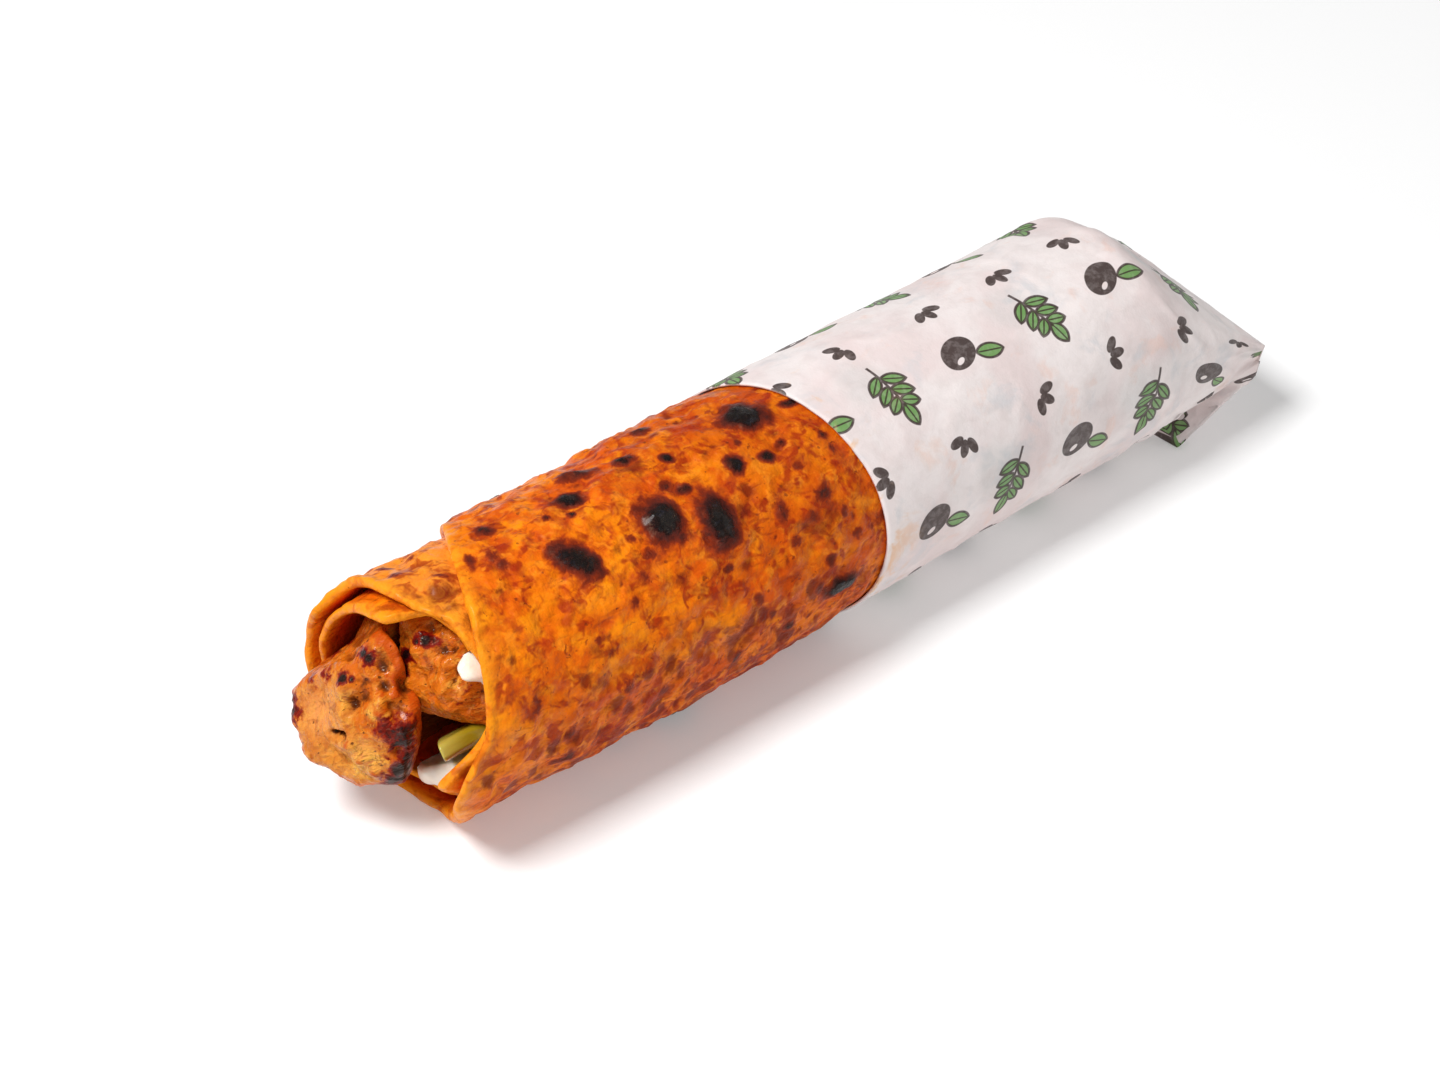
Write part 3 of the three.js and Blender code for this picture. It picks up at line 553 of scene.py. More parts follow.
BACK_DENTS = [
    (-104.2, -7.2, 46.0, 2.3, 1.9, 0.5), (-106.6, -3.0, 43.4, 1.8, -1.0, 0.0),
    (-103.8, -12.4, 42.4, 2.0, 1.5, 0.45),
    (-106.4, -11.0, 39.0, 2.0, -1.1, 0.0), (-107.6, -7.6, 41.6, 1.7, 1.2, 0.45),
    (-104.6, -15.0, 38.2, 1.5, -0.7, 0.0),
    (-107.6, -9.6, 35.8, 1.6, 0.9, 0.35), (-101.4, -11.6, 45.4, 1.8, -1.0, 0.0),
    (-103.2, -2.2, 47.2, 1.8, 1.2, 0.45),
    (-108.9, -4.0, 36.6, 2.2, -0.7, 0.0), (-105.6, -13.0, 41.0, 1.1, 0.8, 0.4),
    (-108.6, -5.6, 39.4, 1.2, 0.7, 0.3),
    (-102.6, -9.6, 46.6, 1.4, 0.9, 0.4), (-106.2, -12.6, 35.2, 1.6, -0.6, 0.0),
]
# Pale, stringy places, brightened partly by painted highlight: x, y, z, radius
FRONT_PALE = [(-119.2, -4.6, 35.4, 2.4), (-122.0, 2.6, 34.4, 1.5), (-121.8, -5.6, 24.6, 3.6),
              (-122.8, -2.6, 20.6, 3.2), (-123.6, -2.4, 26.6, 1.6), (-114.8, 1.6, 44.0, 1.6)]
BACK_PALE = [(-107.4, -8.6, 41.0, 1.3), (-105.0, -12.6, 40.4, 1.4), (-101.6, -12.2, 44.6, 1.4)]

# Pinkish places, where the cut is fresh: x, y, z, radius
FRONT_PINK = [(-124.4, 9.6, 28.6, 4.6), (-123.0, -3.6, 24.6, 3.2)]
BACK_PINK = [(-108.8, -4.0, 34.8, 2.2)]

# Scorched places on the chicken: x, y, z, radius, darkness
FRONT_SCORCH = [
    (-115.6, 4.6, 43.2, 1.2, 1.0), (-115.6, 2.2, 43.2, 1.3, 1.0), (-116.6, 1.0, 42.2, 0.8, 0.9),
    (-120.1, 5.2, 38.2, 1.0, 1.0), (-119.2, 3.4, 38.8, 0.6, 0.8), (-114.9, -5.8, 40.2, 1.5, 1.0),
    (-114.0, -7.2, 38.8, 1.2, 1.0), (-118.6, -8.8, 32.0, 2.2, 0.55), (-119.8, -7.6, 32.8, 1.3, 0.5),
    (-116.4, -10.2, 30.6, 2.8, 0.68), (-117.6, -10.0, 28.4, 1.3, 0.95), (-115.2, -10.8, 28.2, 1.6, 0.85),
    (-117.4, -10.0, 21.6, 2.4, 0.95), (-115.8, -10.6, 23.8, 2.0, 0.85), (-118.8, -9.2, 18.4, 2.0, 0.9),
    (-115.6, -10.0, 19.2, 2.6, 1.0), (-119.8, -6.8, 15.6, 1.6, 0.6), (-113.4, -11.0, 31.6, 1.8, 0.6),
    (-125.9, 15.6, 24.6, 1.4, 0.75), (-124.6, 17.8, 26.6, 1.4, 0.7), (-121.6, 10.4, 36.6, 1.3, 0.45),
    (-122.6, 14.4, 33.6, 1.4, 0.4), (-110.0, 21.0, 33.0, 4.0, 0.6), (-116.0, 16.0, 13.0, 4.2, 0.55),
    (-123.8, 8.2, 13.8, 1.2, 0.6), (-125.6, 4.2, 17.2, 0.9, 0.6), (-121.3, 0.2, 34.8, 1.0, 0.55),
]
BACK_SCORCH = [
    (-105.2, -3.7, 46.3, 1.2, 1.0), (-104.2, -5.4, 46.8, 1.0, 0.9), (-106.0, -2.2, 45.2, 0.9, 0.8),
    (-108.0, -0.4, 41.6, 1.3, 0.95), (-109.2, -1.2, 38.4, 1.2, 0.95), (-108.8, 0.2, 36.2, 1.3, 0.8),
    (-104.6, -14.4, 37.0, 0.7, 0.9), (-105.9, -11.2, 39.4, 0.55, 0.8), (-106.4, -9.4, 37.4, 0.45, 0.8),
    (-103.6, -15.6, 40.4, 0.7, 0.7), (-99.0, -15.0, 44.0, 1.6, 0.5), (-105.4, -12.6, 34.4, 0.6, 0.7),
]


# The hidden rows: limits in y, limits in z, where their chunks start and the chunks' pitch
FRONT_ROW = (-1.0, 19.5, 9.5, 47.0, -97, 34)
BACK_ROW = (-18.6, 4.6, 25.0, 48.4, -90, 31)
# The planes between the rows: a y + b (z above the axis) = c, the x where they begin and over how far
FRONT_LIMITS = [(-1, 0.1, -4.15, -110.0, 3.0)]
BACK_LIMITS = [(1, -0.1, 3.85, -112, 5), (-0.3, -1, 3.35, -112, 5)]
FRONT_DEEP_X, BACK_DEEP_X = -111, -101     # where the painted shade inside the roll begins
FRONT_SEED, BACK_SEED = 21, 35


def row_size(x, start, pitch):
    """Size of the hidden row behind a first chunk: chunks about a pitch long with narrower joints."""
    waist = 0.86 + 0.14 * np.abs(np.sin(math.pi * (x - start) / pitch))
    return waist * (1 - 0.45 * smooth(x, FILLING_END_X - 6, FILLING_END_X))


def chunk_reach(centre, facets, shown_cut, direction, shift):
    """Reach of the rounded block from a point a shift behind its centre: each facet's plane counts by slope
    over distance, and the power mean joins them. Also how far each point belongs to the facets that were
    cut: their share of the sum, which fades behind the centre."""
    total = cut = 0
    for (normal, point), shown in itertools.zip_longest(facets, shown_cut, fillvalue=0):
        distance = sum(n * (p - c) for n, p, c in zip(normal, point, centre))
        slope = sum(normal[k] * direction[..., k] for k in range(3))
        room = np.maximum(distance - normal[0] * shift, 0.5)
        closeness = np.maximum(slope * CHUNK_R / room, 0) ** FACET_POWER
        total, cut = total + closeness, cut + shown * closeness
    total = np.maximum(total, 1e-6)
    return CHUNK_R * total ** (-1 / FACET_POWER), cut / total * (1 - smooth(shift, 0, 4))


def row_reach(centre, row, x, dy, dz):
    """Reach of the hidden row: a squarish oval between its limits in y and z, by the power mean."""
    y_low, y_high, z_low, z_high, start, pitch = row
    half_y = np.where(dy < 0, centre[1] - y_low, y_high - centre[1])
    half_z = np.where(dz < 0, centre[2] - z_low, z_high - centre[2])
    oval = ((np.abs(dy) / half_y) ** ROW_POWER + (np.abs(dz) / half_z) ** ROW_POWER) ** (-1 / ROW_POWER)
    return oval * row_size(x, start, pitch)


def keep_in(reach, centre, limits, x, dy, dz, behind):
    """Keeps the reach behind the first chunk's front to the strand's own room: on its side of the planes
    toward the other row (their a, b, c, where they begin and over how far), and inside the bread."""
    cy, cz = centre[1], centre[2] - AXIS_Z
    for a, b, c, from_x, over in limits:
        speed = a * dy + b * dz
        room = np.where(speed > 1e-6, (c - a * cy - b * cz) / np.where(speed > 1e-6, speed, 1), 1e3)
        reach = mix(reach, np.minimum(reach, room), smooth(x, from_x, from_x + over) * behind)
    ahead = cy * dy + cz * dz
    wall = np.sqrt(np.maximum(CELL_R**2 - cy * cy - cz * cz + ahead**2, 1)) - ahead
    return mix(reach, np.minimum(reach, wall), smooth(x, -113, -107) * behind)


def strand_points(centre, reach, direction, shift):
    """Points at a reach in a direction from the point a shift behind the centre."""
    points = np.array(centre) + reach[..., None] * direction
    points[..., 0] += shift
    return points


def chicken_row(centre, facets, shown_cut, dents, row, limits, seed, relief):
    """A first chunk and the row behind it as one closed strand. From the chunk's middle, rays swing from
    straight ahead to sideways; behind it they leave the line of the row sideways. The reach passes from the
    block's to the row's, with lumps, fibres and dents on it. Returns the points, the painted shade of the
    pits and how far each point is cut meat."""
    angle = np.linspace(0, 2 * math.pi, ROUND_STEPS)[:-1][:, None]
    swing = np.linspace(0, math.pi / 2, SWING_STEPS)
    back = np.concatenate([np.linspace(0.6, 24, 38), np.linspace(28, FILLING_END_X - centre[0], 40)])
    lean = np.concatenate([swing, np.full(len(back), math.pi / 2)])[None, :]
    shift = np.concatenate([np.zeros(len(swing)), back])[None, :]
    dy, dz = -np.cos(angle) + 0 * lean, -np.sin(angle) + 0 * lean
    direction = np.stack([-np.cos(lean) + 0 * angle, np.sin(lean) * dy, np.sin(lean) * dz], -1)
    x = centre[0] + shift
    reach, cut = chunk_reach(centre, facets, shown_cut, direction, shift)
    reach = mix(reach, row_reach(centre, row, x, dy, dz), smooth(shift, 1.5, 10))
    px, py, pz = np.moveaxis(strand_points(centre, reach, direction, shift), -1, 0)
    lumps = 0.50 * fractal(seed, 8.0, 2, px, py, pz) + 0.42 * fractal(seed + 1, 3.4, 2, px, py, pz)
    # the fibres run aslant: the noise is stretched along one direction
    u, v, w = 0.30 * (px + pz), py + 0.5 * pz, pz - 0.5 * py + 0.3 * px
    fibre = 0.32 * ridges(seed + 2, 2.3, 2, u, v, w) + 0.14 * fractal(seed + 3, 1.2, 2, px, py, pz)
    reach = reach + relief * (lumps + fibre - 0.20) * (1 - 0.55 * cut)
    pits = np.zeros(reach.shape)
    for a, b, c, radius, depth, dark in dents:
        near = np.exp(-((px - a) ** 2 + (py - b) ** 2 + (pz - c) ** 2) / radius**2)
        reach = reach - relief * DENT_DEPTH * depth * near
        # painted shade in the pits: each dent's darkness, strongest at its middle
        pits = np.maximum(pits, dark * near**1.4)
    reach = keep_in(reach, centre, limits, x, dy, dz, shift > 0)
    points = close_end(strand_points(centre, reach, direction, shift))
    return points, *[np.concatenate([field, field[:, -1:]], 1) for field in (pits, cut)]


def nearest_scorch(points, table, seed):
    """For each point, the darkness of the scorched places near it, with a wavering edge, and their halo."""
    px, py, pz = points[..., 0], points[..., 1], points[..., 2]
    wobble = 1 + 0.45 * fractal(seed, 1.7, 2, px, py, pz)
    core = np.zeros(px.shape)
    halo = np.zeros(px.shape)
    for x, y, z, radius, dark in table:
        q = np.sqrt((px - x) ** 2 + (py - y) ** 2 + (pz - z) ** 2) / radius * wobble
        core = np.maximum(core, dark * (1 - smooth(q, 0.5, 1.3)))
        halo = np.maximum(halo, (0.2 + 0.8 * dark) * np.exp(-((q / 1.55) ** 2)))
    return core, halo


def nearest_bell(points, table):
    """For each point the highest of the bells round the table's places (x, y, z, radius)."""
    bells = [np.exp(-(((points - row[:3]) / row[3]) ** 2).sum(-1)) for row in table]
    return np.max(bells, 0)


def edges_and_crevices(points):
    """How far each point stands out from the mean of its neighbours on the grid, and how far it sinks in,
    each from 0 to 1."""
    padded = np.concatenate([points[-4:], points, points[:4]])
    mean = (padded[:-8] + padded[8:]) / 2
    mean_x = points.copy()
    mean_x[:, 4:-4] = (points[:, :-8] + points[:, 8:]) / 2
    outward = points - points.mean(0, keepdims=True)
    outward /= np.maximum(np.linalg.norm(outward, axis=-1, keepdims=True), 1e-6)
    lift = ((points - (mean + mean_x) / 2) * outward).sum(-1)
    return smooth(lift, 0.05, 0.5), smooth(-lift, 0.02, 0.26)


def build_chicken(name, chunk, row, limits, places, seed, relief):
    """A row of chicken with fields for its material: char and halo of the scorched places, its edges, the
    painted shade of its crevices and pits, the faces that were cut, pale stringy places that are brightened
    partly by painted highlight, pinkish places, and the painted shade that grows deeper in the roll. The
    chunk is (centre, facets, cut shares, dents); the row is (its limits in y and z, start, pitch); places are
    (scorched, pale and lit, pinkish, x where the painted shade begins)."""
    points, pits, cut = chicken_row(*chunk, row, limits, seed, relief)
    scorched, stringy, fresh, deep_from = places
    core, halo = nearest_scorch(points, scorched, seed + 9)
    # the places that sink in get painted shade in the material
    edge, crevice = edges_and_crevices(points)
    return put_piece(name, points, char=core, halo=halo, edge=edge, crevice=crevice, pit=pits, cut=cut,
                     pale=nearest_bell(points, stringy), pink=nearest_bell(points, fresh),
                     deep=smooth(points[..., 0], deep_from, deep_from + 8))


# ---- garlic sauce and pickle ---------------------------------------------------------------------------

SAUCE_FROM, SAUCE_TO, SAUCE_END_X = 35.0, 177.0, 62.0    # its first and last angle, its far end
SAUCE_WAVE_R = 18.0              # radius at which the waves of the sauce are laid out
POOL_ANGLE, POOL_REACH = 150.0, 15.2     # the way down into the pool and how far its level is
PICKLE_Y, PICKLE_Z = -12.2, -5.0         # middle of the slice from the roll's axis
PICKLE_W, PICKLE_T = 7.2, 2.3            # half its width and half its thickness
PICKLE_TILT = 45.0
PICKLE_SLANT = (0.45, -0.35)             # the cut end's lean: its x against y and z


def build_sauce():
    """The sauce: for each angle a closed profile between its inner face, a circle cut by the level of the
    pool, and the bread, rounded at the front, with soft waves where it shows."""
    angle = np.linspace(SAUCE_FROM, SAUCE_TO, 150)[:, None]
    front = (-101 - 5.5 * smooth(angle, 84, 112) - 4.0 * np.exp(-(((angle - 43) / 7.5) ** 4))
             - 3.0 * bump(angle, 158, 20))
    share = np.linspace(0, 1, 60) ** 3.0
    round_it = np.linspace(0, math.pi, 13)[1:-1]
    soft = 1.3 + 1.3 * bump(angle, 43, 9)
    x_face = front + soft + (SAUCE_END_X - front - soft) * share[None, :]
    x_front = front + soft * (1 - np.sin(round_it)[None, :])
    x = np.concatenate([x_face[:, ::-1], x_front, x_face], 1)
    across = np.concatenate([np.ones(len(share)), np.cos(round_it), -np.ones(len(share))])[None, :]
    a = np.broadcast_to(angle, x.shape)
    facing = np.cos((a - POOL_ANGLE) * DEG)
    inner = np.minimum(SAUCE_R, np.where(facing > 0, POOL_REACH / np.maximum(facing, 1e-3), 1e3))
    outer = np.maximum(bread_radius(a + 360, x, 1) - 0.5, inner + 1.2)
    i = np.minimum(np.arange(len(angle)), np.arange(len(angle))[::-1])[:, None]
    side = np.sqrt(1 - (1 - np.clip((i + 0.3) / 14.0, 0, 1)) ** 2)
    s = arc_length(a, SAUCE_WAVE_R)
    waves = 0.30 * fractal(61, 5.0, 2, x, s) * bump(x, front, 16)
    half = (outer - inner) / 2 * side
    radius = (inner + outer) / 2 + across * half + np.where(across < 0.5, waves, 0) * side
    nudge = 0.7 * fractal(62, 4.0, 2, s, across + 0 * x) * bump(x, front, 6) * smooth(a, 60, 90)
    points = roll_point(x + nudge, a, radius)
    return put_piece("garlic_sauce_spread", points, capped=True)


def build_pickle():
    """The pickle: a squarish oval section carried along the roll, bowed a little, with a crisp cut end."""
    angle = np.linspace(0, 2 * math.pi, 97)[:-1][:, None]
    x = np.concatenate([[-108.4, -108.3, -108.0, -107.6], np.linspace(-106.8, -86, 24),
                        np.linspace(-80, 30, 24), [31]])
    size = np.concatenate([[0.94, 0.975, 0.995, 1.0], np.ones(24), np.ones(23), [0.9, 0.7]])
    fade = np.array([0.0, 0.3, 0.6, 0.85])
    rings_x = np.concatenate([np.full(4, x[0]), x])[None, :]
    rings_s = np.concatenate([fade * size[0], size])[None, :]
    c, d = np.cos(angle), np.sin(angle)
    u = -rings_s * PICKLE_W * np.sign(c) * np.abs(c) ** 0.6
    v = -rings_s * PICKLE_T * np.sign(d) * np.abs(d) ** 0.5
    v = v + 0.08 * fractal(71, 3.0, 2, rings_x + 0 * u, u) * rings_s
    bow = 0.1 * np.sin(0.09 * rings_x)
    ct, st = math.cos(PICKLE_TILT * DEG), math.sin(PICKLE_TILT * DEG)
    y, z = u * ct + (v + bow) * st, -u * st + v * ct
    behind = smooth(rings_x, -106, -92)
    slant = (PICKLE_SLANT[0] * y + PICKLE_SLANT[1] * z) * (1 - behind)
    points = np.stack([rings_x + 0.12 * u * behind + slant, PICKLE_Y + y, AXIS_Z + PICKLE_Z + z], -1)
    # the cut end and some millimetres behind it are paler: partly the cut flesh, partly painted sheen
    cut = 1 - smooth(np.concatenate([rings_x[0], [x[-1]]]), -108.5, -101)[None, :]
    skin = smooth(np.abs(c) ** 0.6, 0.8, 1.0)
    return put_piece("pickle_slice", close_end(points), cut=cut, skin=skin)


# ---- paper ---------------------------------------------------------------------------------------------

# Places on the paper's section: its upper arc, its lower path, and the tuck and the flap's edge on that
ARC, LOWER = 38, 22
TUCK, FLAP = 5, 9
RIDGE_ANGLE = 126.0      # angle of the two ridges where the arc ends
TUCK_DEPTH = 11.0        # how far the tuck goes in
HIGHEST_WRINKLE = 0.55
WALL_SHARES = np.array([0.12, 0.3, 0.55, 0.8, 1.0])      # steps over the end wall to its middle line
CORNER_ANGLE = CREASE_W / (PAPER_R * DEG)


def section_angle(k):
    """Angle round the roll of place k on the paper's section: the upper arc, then the lower path."""
    upper = mix(-RIDGE_ANGLE, RIDGE_ANGLE, k / ARC)
    lower = mix(RIDGE_ANGLE, 360 - RIDGE_ANGLE, (k - ARC) / LOWER)
    return np.where(k <= ARC, upper, lower)


def paper_section(x, k, offset):
    """y and z of the paper at x and place k. The upper arc runs from the circle to the straight crease, its
    ends on the ridges; the lower path runs from a ridge in to the tuck, out to the edge of the flap and
    across below."""
    angle = section_angle(k)
    circle = roll_point(0 * x, angle, PAPER_R - taper(x, angle) - offset)
    ry, rz = circle[..., 1], circle[..., 2]
    flat = np.clip((x - FOLD_X - 4) / (CREASE_X - FOLD_X - 4), -0.09, 1)
    end = np.clip((x - FOLD_X) / (CREASE_X - FOLD_X), 0, 1)
    arc = np.where(flat < 0.09, (flat + 0.09) ** 2 / 0.36, flat)
    ridge_z = mix(AXIS_Z + PAPER_R * math.cos(RIDGE_ANGLE * DEG), CREASE_Z - CORNER_DROP - offset, end**0.85)
    ridge_y = mix(PAPER_R * math.sin(RIDGE_ANGLE * DEG), CREASE_W, smooth(end, 0, 0.70))
    # the upper arc, whose paper beyond the corner angle fans in to the corner
    u = 2 * k / ARC - 1
    share = np.abs(u) ** 6 * smooth(end, 0, 0.3)
    sign_u = np.where(u < 0, -1, 1)
    y0, z0 = mix(ry, -sign_u * ridge_y, share), mix(rz, ridge_z, share)
    beyond = np.clip((np.abs(angle) - CORNER_ANGLE) / (RIDGE_ANGLE - CORNER_ANGLE), 0, 1)
    across = np.minimum(1, np.abs(angle) / CORNER_ANGLE) * (CREASE_W - 0.8 * beyond - offset)
    sign_a = np.where(angle < 0, -1, 1)
    upper_y = mix(y0, -sign_a * across, arc)
    upper_z = mix(z0, CREASE_Z - offset - CORNER_DROP * beyond, arc)
    # the lower path
    step = k - ARC
    back = np.minimum(step, LOWER - step)
    sign = np.where(step <= LOWER / 2, -1, 1)
    grow = smooth(end, 0, 0.28)
    flap_z = mix(0.7, CREASE_Z - END_WALL + 0.6, np.clip((x - FLAP_X) / (CREASE_X - 2 - FLAP_X), 0, 1))
    tuck_in = TUCK_DEPTH * smooth(end, 0.02, 0.4) * (1 - smooth(end, 0.6, 1))
    tuck_y, tuck_z = ridge_y - tuck_in - offset, mix(ridge_z, np.maximum(flap_z, 1), 0.55)
    out = smooth(x, FLAP_X - 1.2, FLAP_X + 0.2)
    flap_angle = RIDGE_ANGLE + FLAP * (180 - RIDGE_ANGLE) * 2 / LOWER
    flap_ring = roll_point(0 * x, flap_angle + 0 * x, PAPER_R + 0 * x)
    edge_y = mix(np.abs(flap_ring[..., 1]), mix(FLAP_W, CREASE_W - 1.4, end), out)
    edge_z = mix(rz, flap_z, out) + offset
    to_tuck = np.clip(back / TUCK, 0, 1)
    to_edge = np.clip((back - TUCK) / (FLAP - TUCK), 0, 1)
    to_middle = np.clip((back - FLAP) / (LOWER / 2 - FLAP), 0, 1)
    y = np.where(back <= TUCK, mix(ridge_y, tuck_y, to_tuck),
                 np.where(back <= FLAP, mix(tuck_y, edge_y, to_edge), edge_y * (1 - to_middle)))
    low = np.maximum(0, mix(edge_z, edge_z - 0.7, smooth(to_middle, 0, 0.4)))
    z = np.where(back <= TUCK, mix(ridge_z, tuck_z, to_tuck),
                 np.where(back <= FLAP, mix(tuck_z, edge_z, to_edge), low))
    lower_y, lower_z = mix(ry, sign * y, grow), mix(rz, z, grow)
    return np.where(k <= ARC, upper_y, lower_y), np.where(k <= ARC, upper_z, lower_z)


def paper_points(x, k, offset):
    """Points of the paper: its section, which leans more and more toward the slanting crease."""
    y, z = paper_section(x, k, offset)
    lean = CREASE_SLANT * y - 0.28 * np.maximum(0, CREASE_Z - z)
    return np.stack([x + np.where(x > FOLD_X, lean * smooth(x, FOLD_X + 8, CREASE_X), 0), y, z], -1)


def wrinkles(x, s):
    """Height of the wrinkles at x and the arc length s: soft waves, pulls that run aslant toward the folded
    end and fine creases."""
    soft = 0.34 * fractal(82, 18.0, 3, x + 0.5 * s, s - 0.4 * x)
    pulls = 0.95 * (ridges(83, 13.0, 2, 0.35 * x + 0.5 * s, 0.9 * s - 0.8 * x) - 0.35) * smooth(x, 52, 92)
    creases = 0.30 * (ridges(84, 15.0, 2, x - 0.3 * s, 0.8 * s + 0.2 * x) ** 2 - 0.2)
    return soft + pulls + creases


def crinkled(outside, x, s, edge, wrinkle):
    """The outside moved along its normals by the wrinkles, which fade toward the cut edge, the crease and
    the floor."""
    normal = grid_normals(outside)
    turned = np.sign((normal * (outside - [0, 0, AXIS_Z]) * [0, 1, 1]).sum(-1).mean())
    lift = (wrinkle * wrinkles(x, s) * smooth(x, edge, edge + 10) * smooth(CREASE_X - x, 0, 5)
            * smooth(outside[..., 2], 0.4, 3.0))
    outside = outside + turned * normal * np.minimum(lift, HIGHEST_WRINKLE)[..., None]
    outside[..., 2] = np.maximum(outside[..., 2], 0)
    return outside


def end_wall(rim, upper, lower):
    """The folded edge below the crease, from the rim to its middle line, where each place of the upper arc
    meets one of the lower path halfway."""
    partner = np.concatenate([np.interp(upper, [0, ARC], [ARC + LOWER, ARC]),
                              np.interp(lower, [ARC, ARC + LOWER], [ARC, 0])])
    places = np.concatenate([upper, lower, [ARC + LOWER]])
    closed = np.concatenate([rim, rim[:1]])
    other = np.stack([np.interp(partner, places, closed[:, n]) for n in range(3)], -1)
    middle = (rim + other) / 2
    middle[:, 0] -= 0.4
    return rim[:, None] + (middle - rim)[:, None] * WALL_SHARES[None, :, None]


def build_paper(wrinkle):
    """The paper as one closed skin: along the outside from its cut edge to the crease and over the end wall
    to its middle line, and along the inside to the end of the hollow. Its UV map is the paper laid flat."""
    upper = np.linspace(0, ARC, 171)
    lower = np.concatenate([np.linspace(ARC, ARC + FLAP, 37)[1:],
                            np.linspace(ARC + FLAP, ARC + LOWER - FLAP, 17)[1:],
                            np.linspace(ARC + LOWER - FLAP, ARC + LOWER, 37)[1:-1]])
    k = np.concatenate([upper, lower])[:, None]
    angle = section_angle(k)
    edge = paper_edge(angle) + 0.35 * fractal(81, 9.0, 3, arc_length(angle, PAPER_R), 0 * angle)
    tube = edge + (FOLD_X - edge) * np.linspace(0, 1, 76)[None, :]
    bend = FOLD_X + np.linspace(0, CREASE_X - FOLD_X, 66)[None, 1:] + 0 * edge
    x = np.concatenate([tube, bend], 1)
    kk = np.broadcast_to(k, x.shape)
    outside = paper_points(x, kk, 0.0)
    outside = crinkled(outside, x, arc_length(section_angle(kk), PAPER_R), edge, wrinkle)
    inside_x = np.concatenate([edge + (FOLD_X - edge) * np.linspace(0, 1, 14)[None, :],
                               FOLD_X + np.linspace(0, 30, 10)[None, 1:] + 0 * edge], 1)
    inside = paper_points(inside_x, np.broadcast_to(k, inside_x.shape), PAPER_T)
    inside[..., 2] = np.maximum(inside[..., 2], PAPER_T)
    wall = end_wall(outside[:, -1], upper, lower)
    points = np.concatenate([close_end(inside)[:, ::-1], outside, wall], 1)
    within = np.repeat([[1.0, 0.0]], [inside.shape[1] + 1, outside.shape[1] + wall.shape[1]], 1)
    reach = np.concatenate([np.full(edge.shape, 40.0), inside_x[:, ::-1], x,
                            CREASE_X + WALL_SHARES[None, :] * 8 + 0 * edge], 1)
    uv = np.stack(np.broadcast_arrays(reach, arc_length(section_angle(k), PAPER_R)), -1) / UV_UNIT
    near_edge = np.exp(-np.maximum(reach - edge, 0) / 6.0)
    return put_piece("greaseproof_paper", points, uv=uv, near_edge=near_edge, within=within)


# ---- materials -----------------------------------------------------------------------------------------

UV_UNIT = 100.0                  # millimetres of paper for each unit of its UV map
PRINT_X, PRINT_Y = 44.0, 33.0    # spacing of the printed motifs along the roll and round it
PLAIN_DRAG = 0.6                 # how far patches are dragged out of shape where the look is calm


def linear(colour):
    """An sRGB colour of 0 to 255 as linear light with alpha 1."""
    c = np.array(colour, float) / 255
    return (*np.where(c <= 0.04045, c / 12.92, ((c + 0.055) / 1.055) ** 2.4), 1.0)


def spaced(settings):
    """Settings whose names have spaces in place of underscores, as the sockets have them."""
    return {key.replace("_", " "): value for key, value in settings.items()}


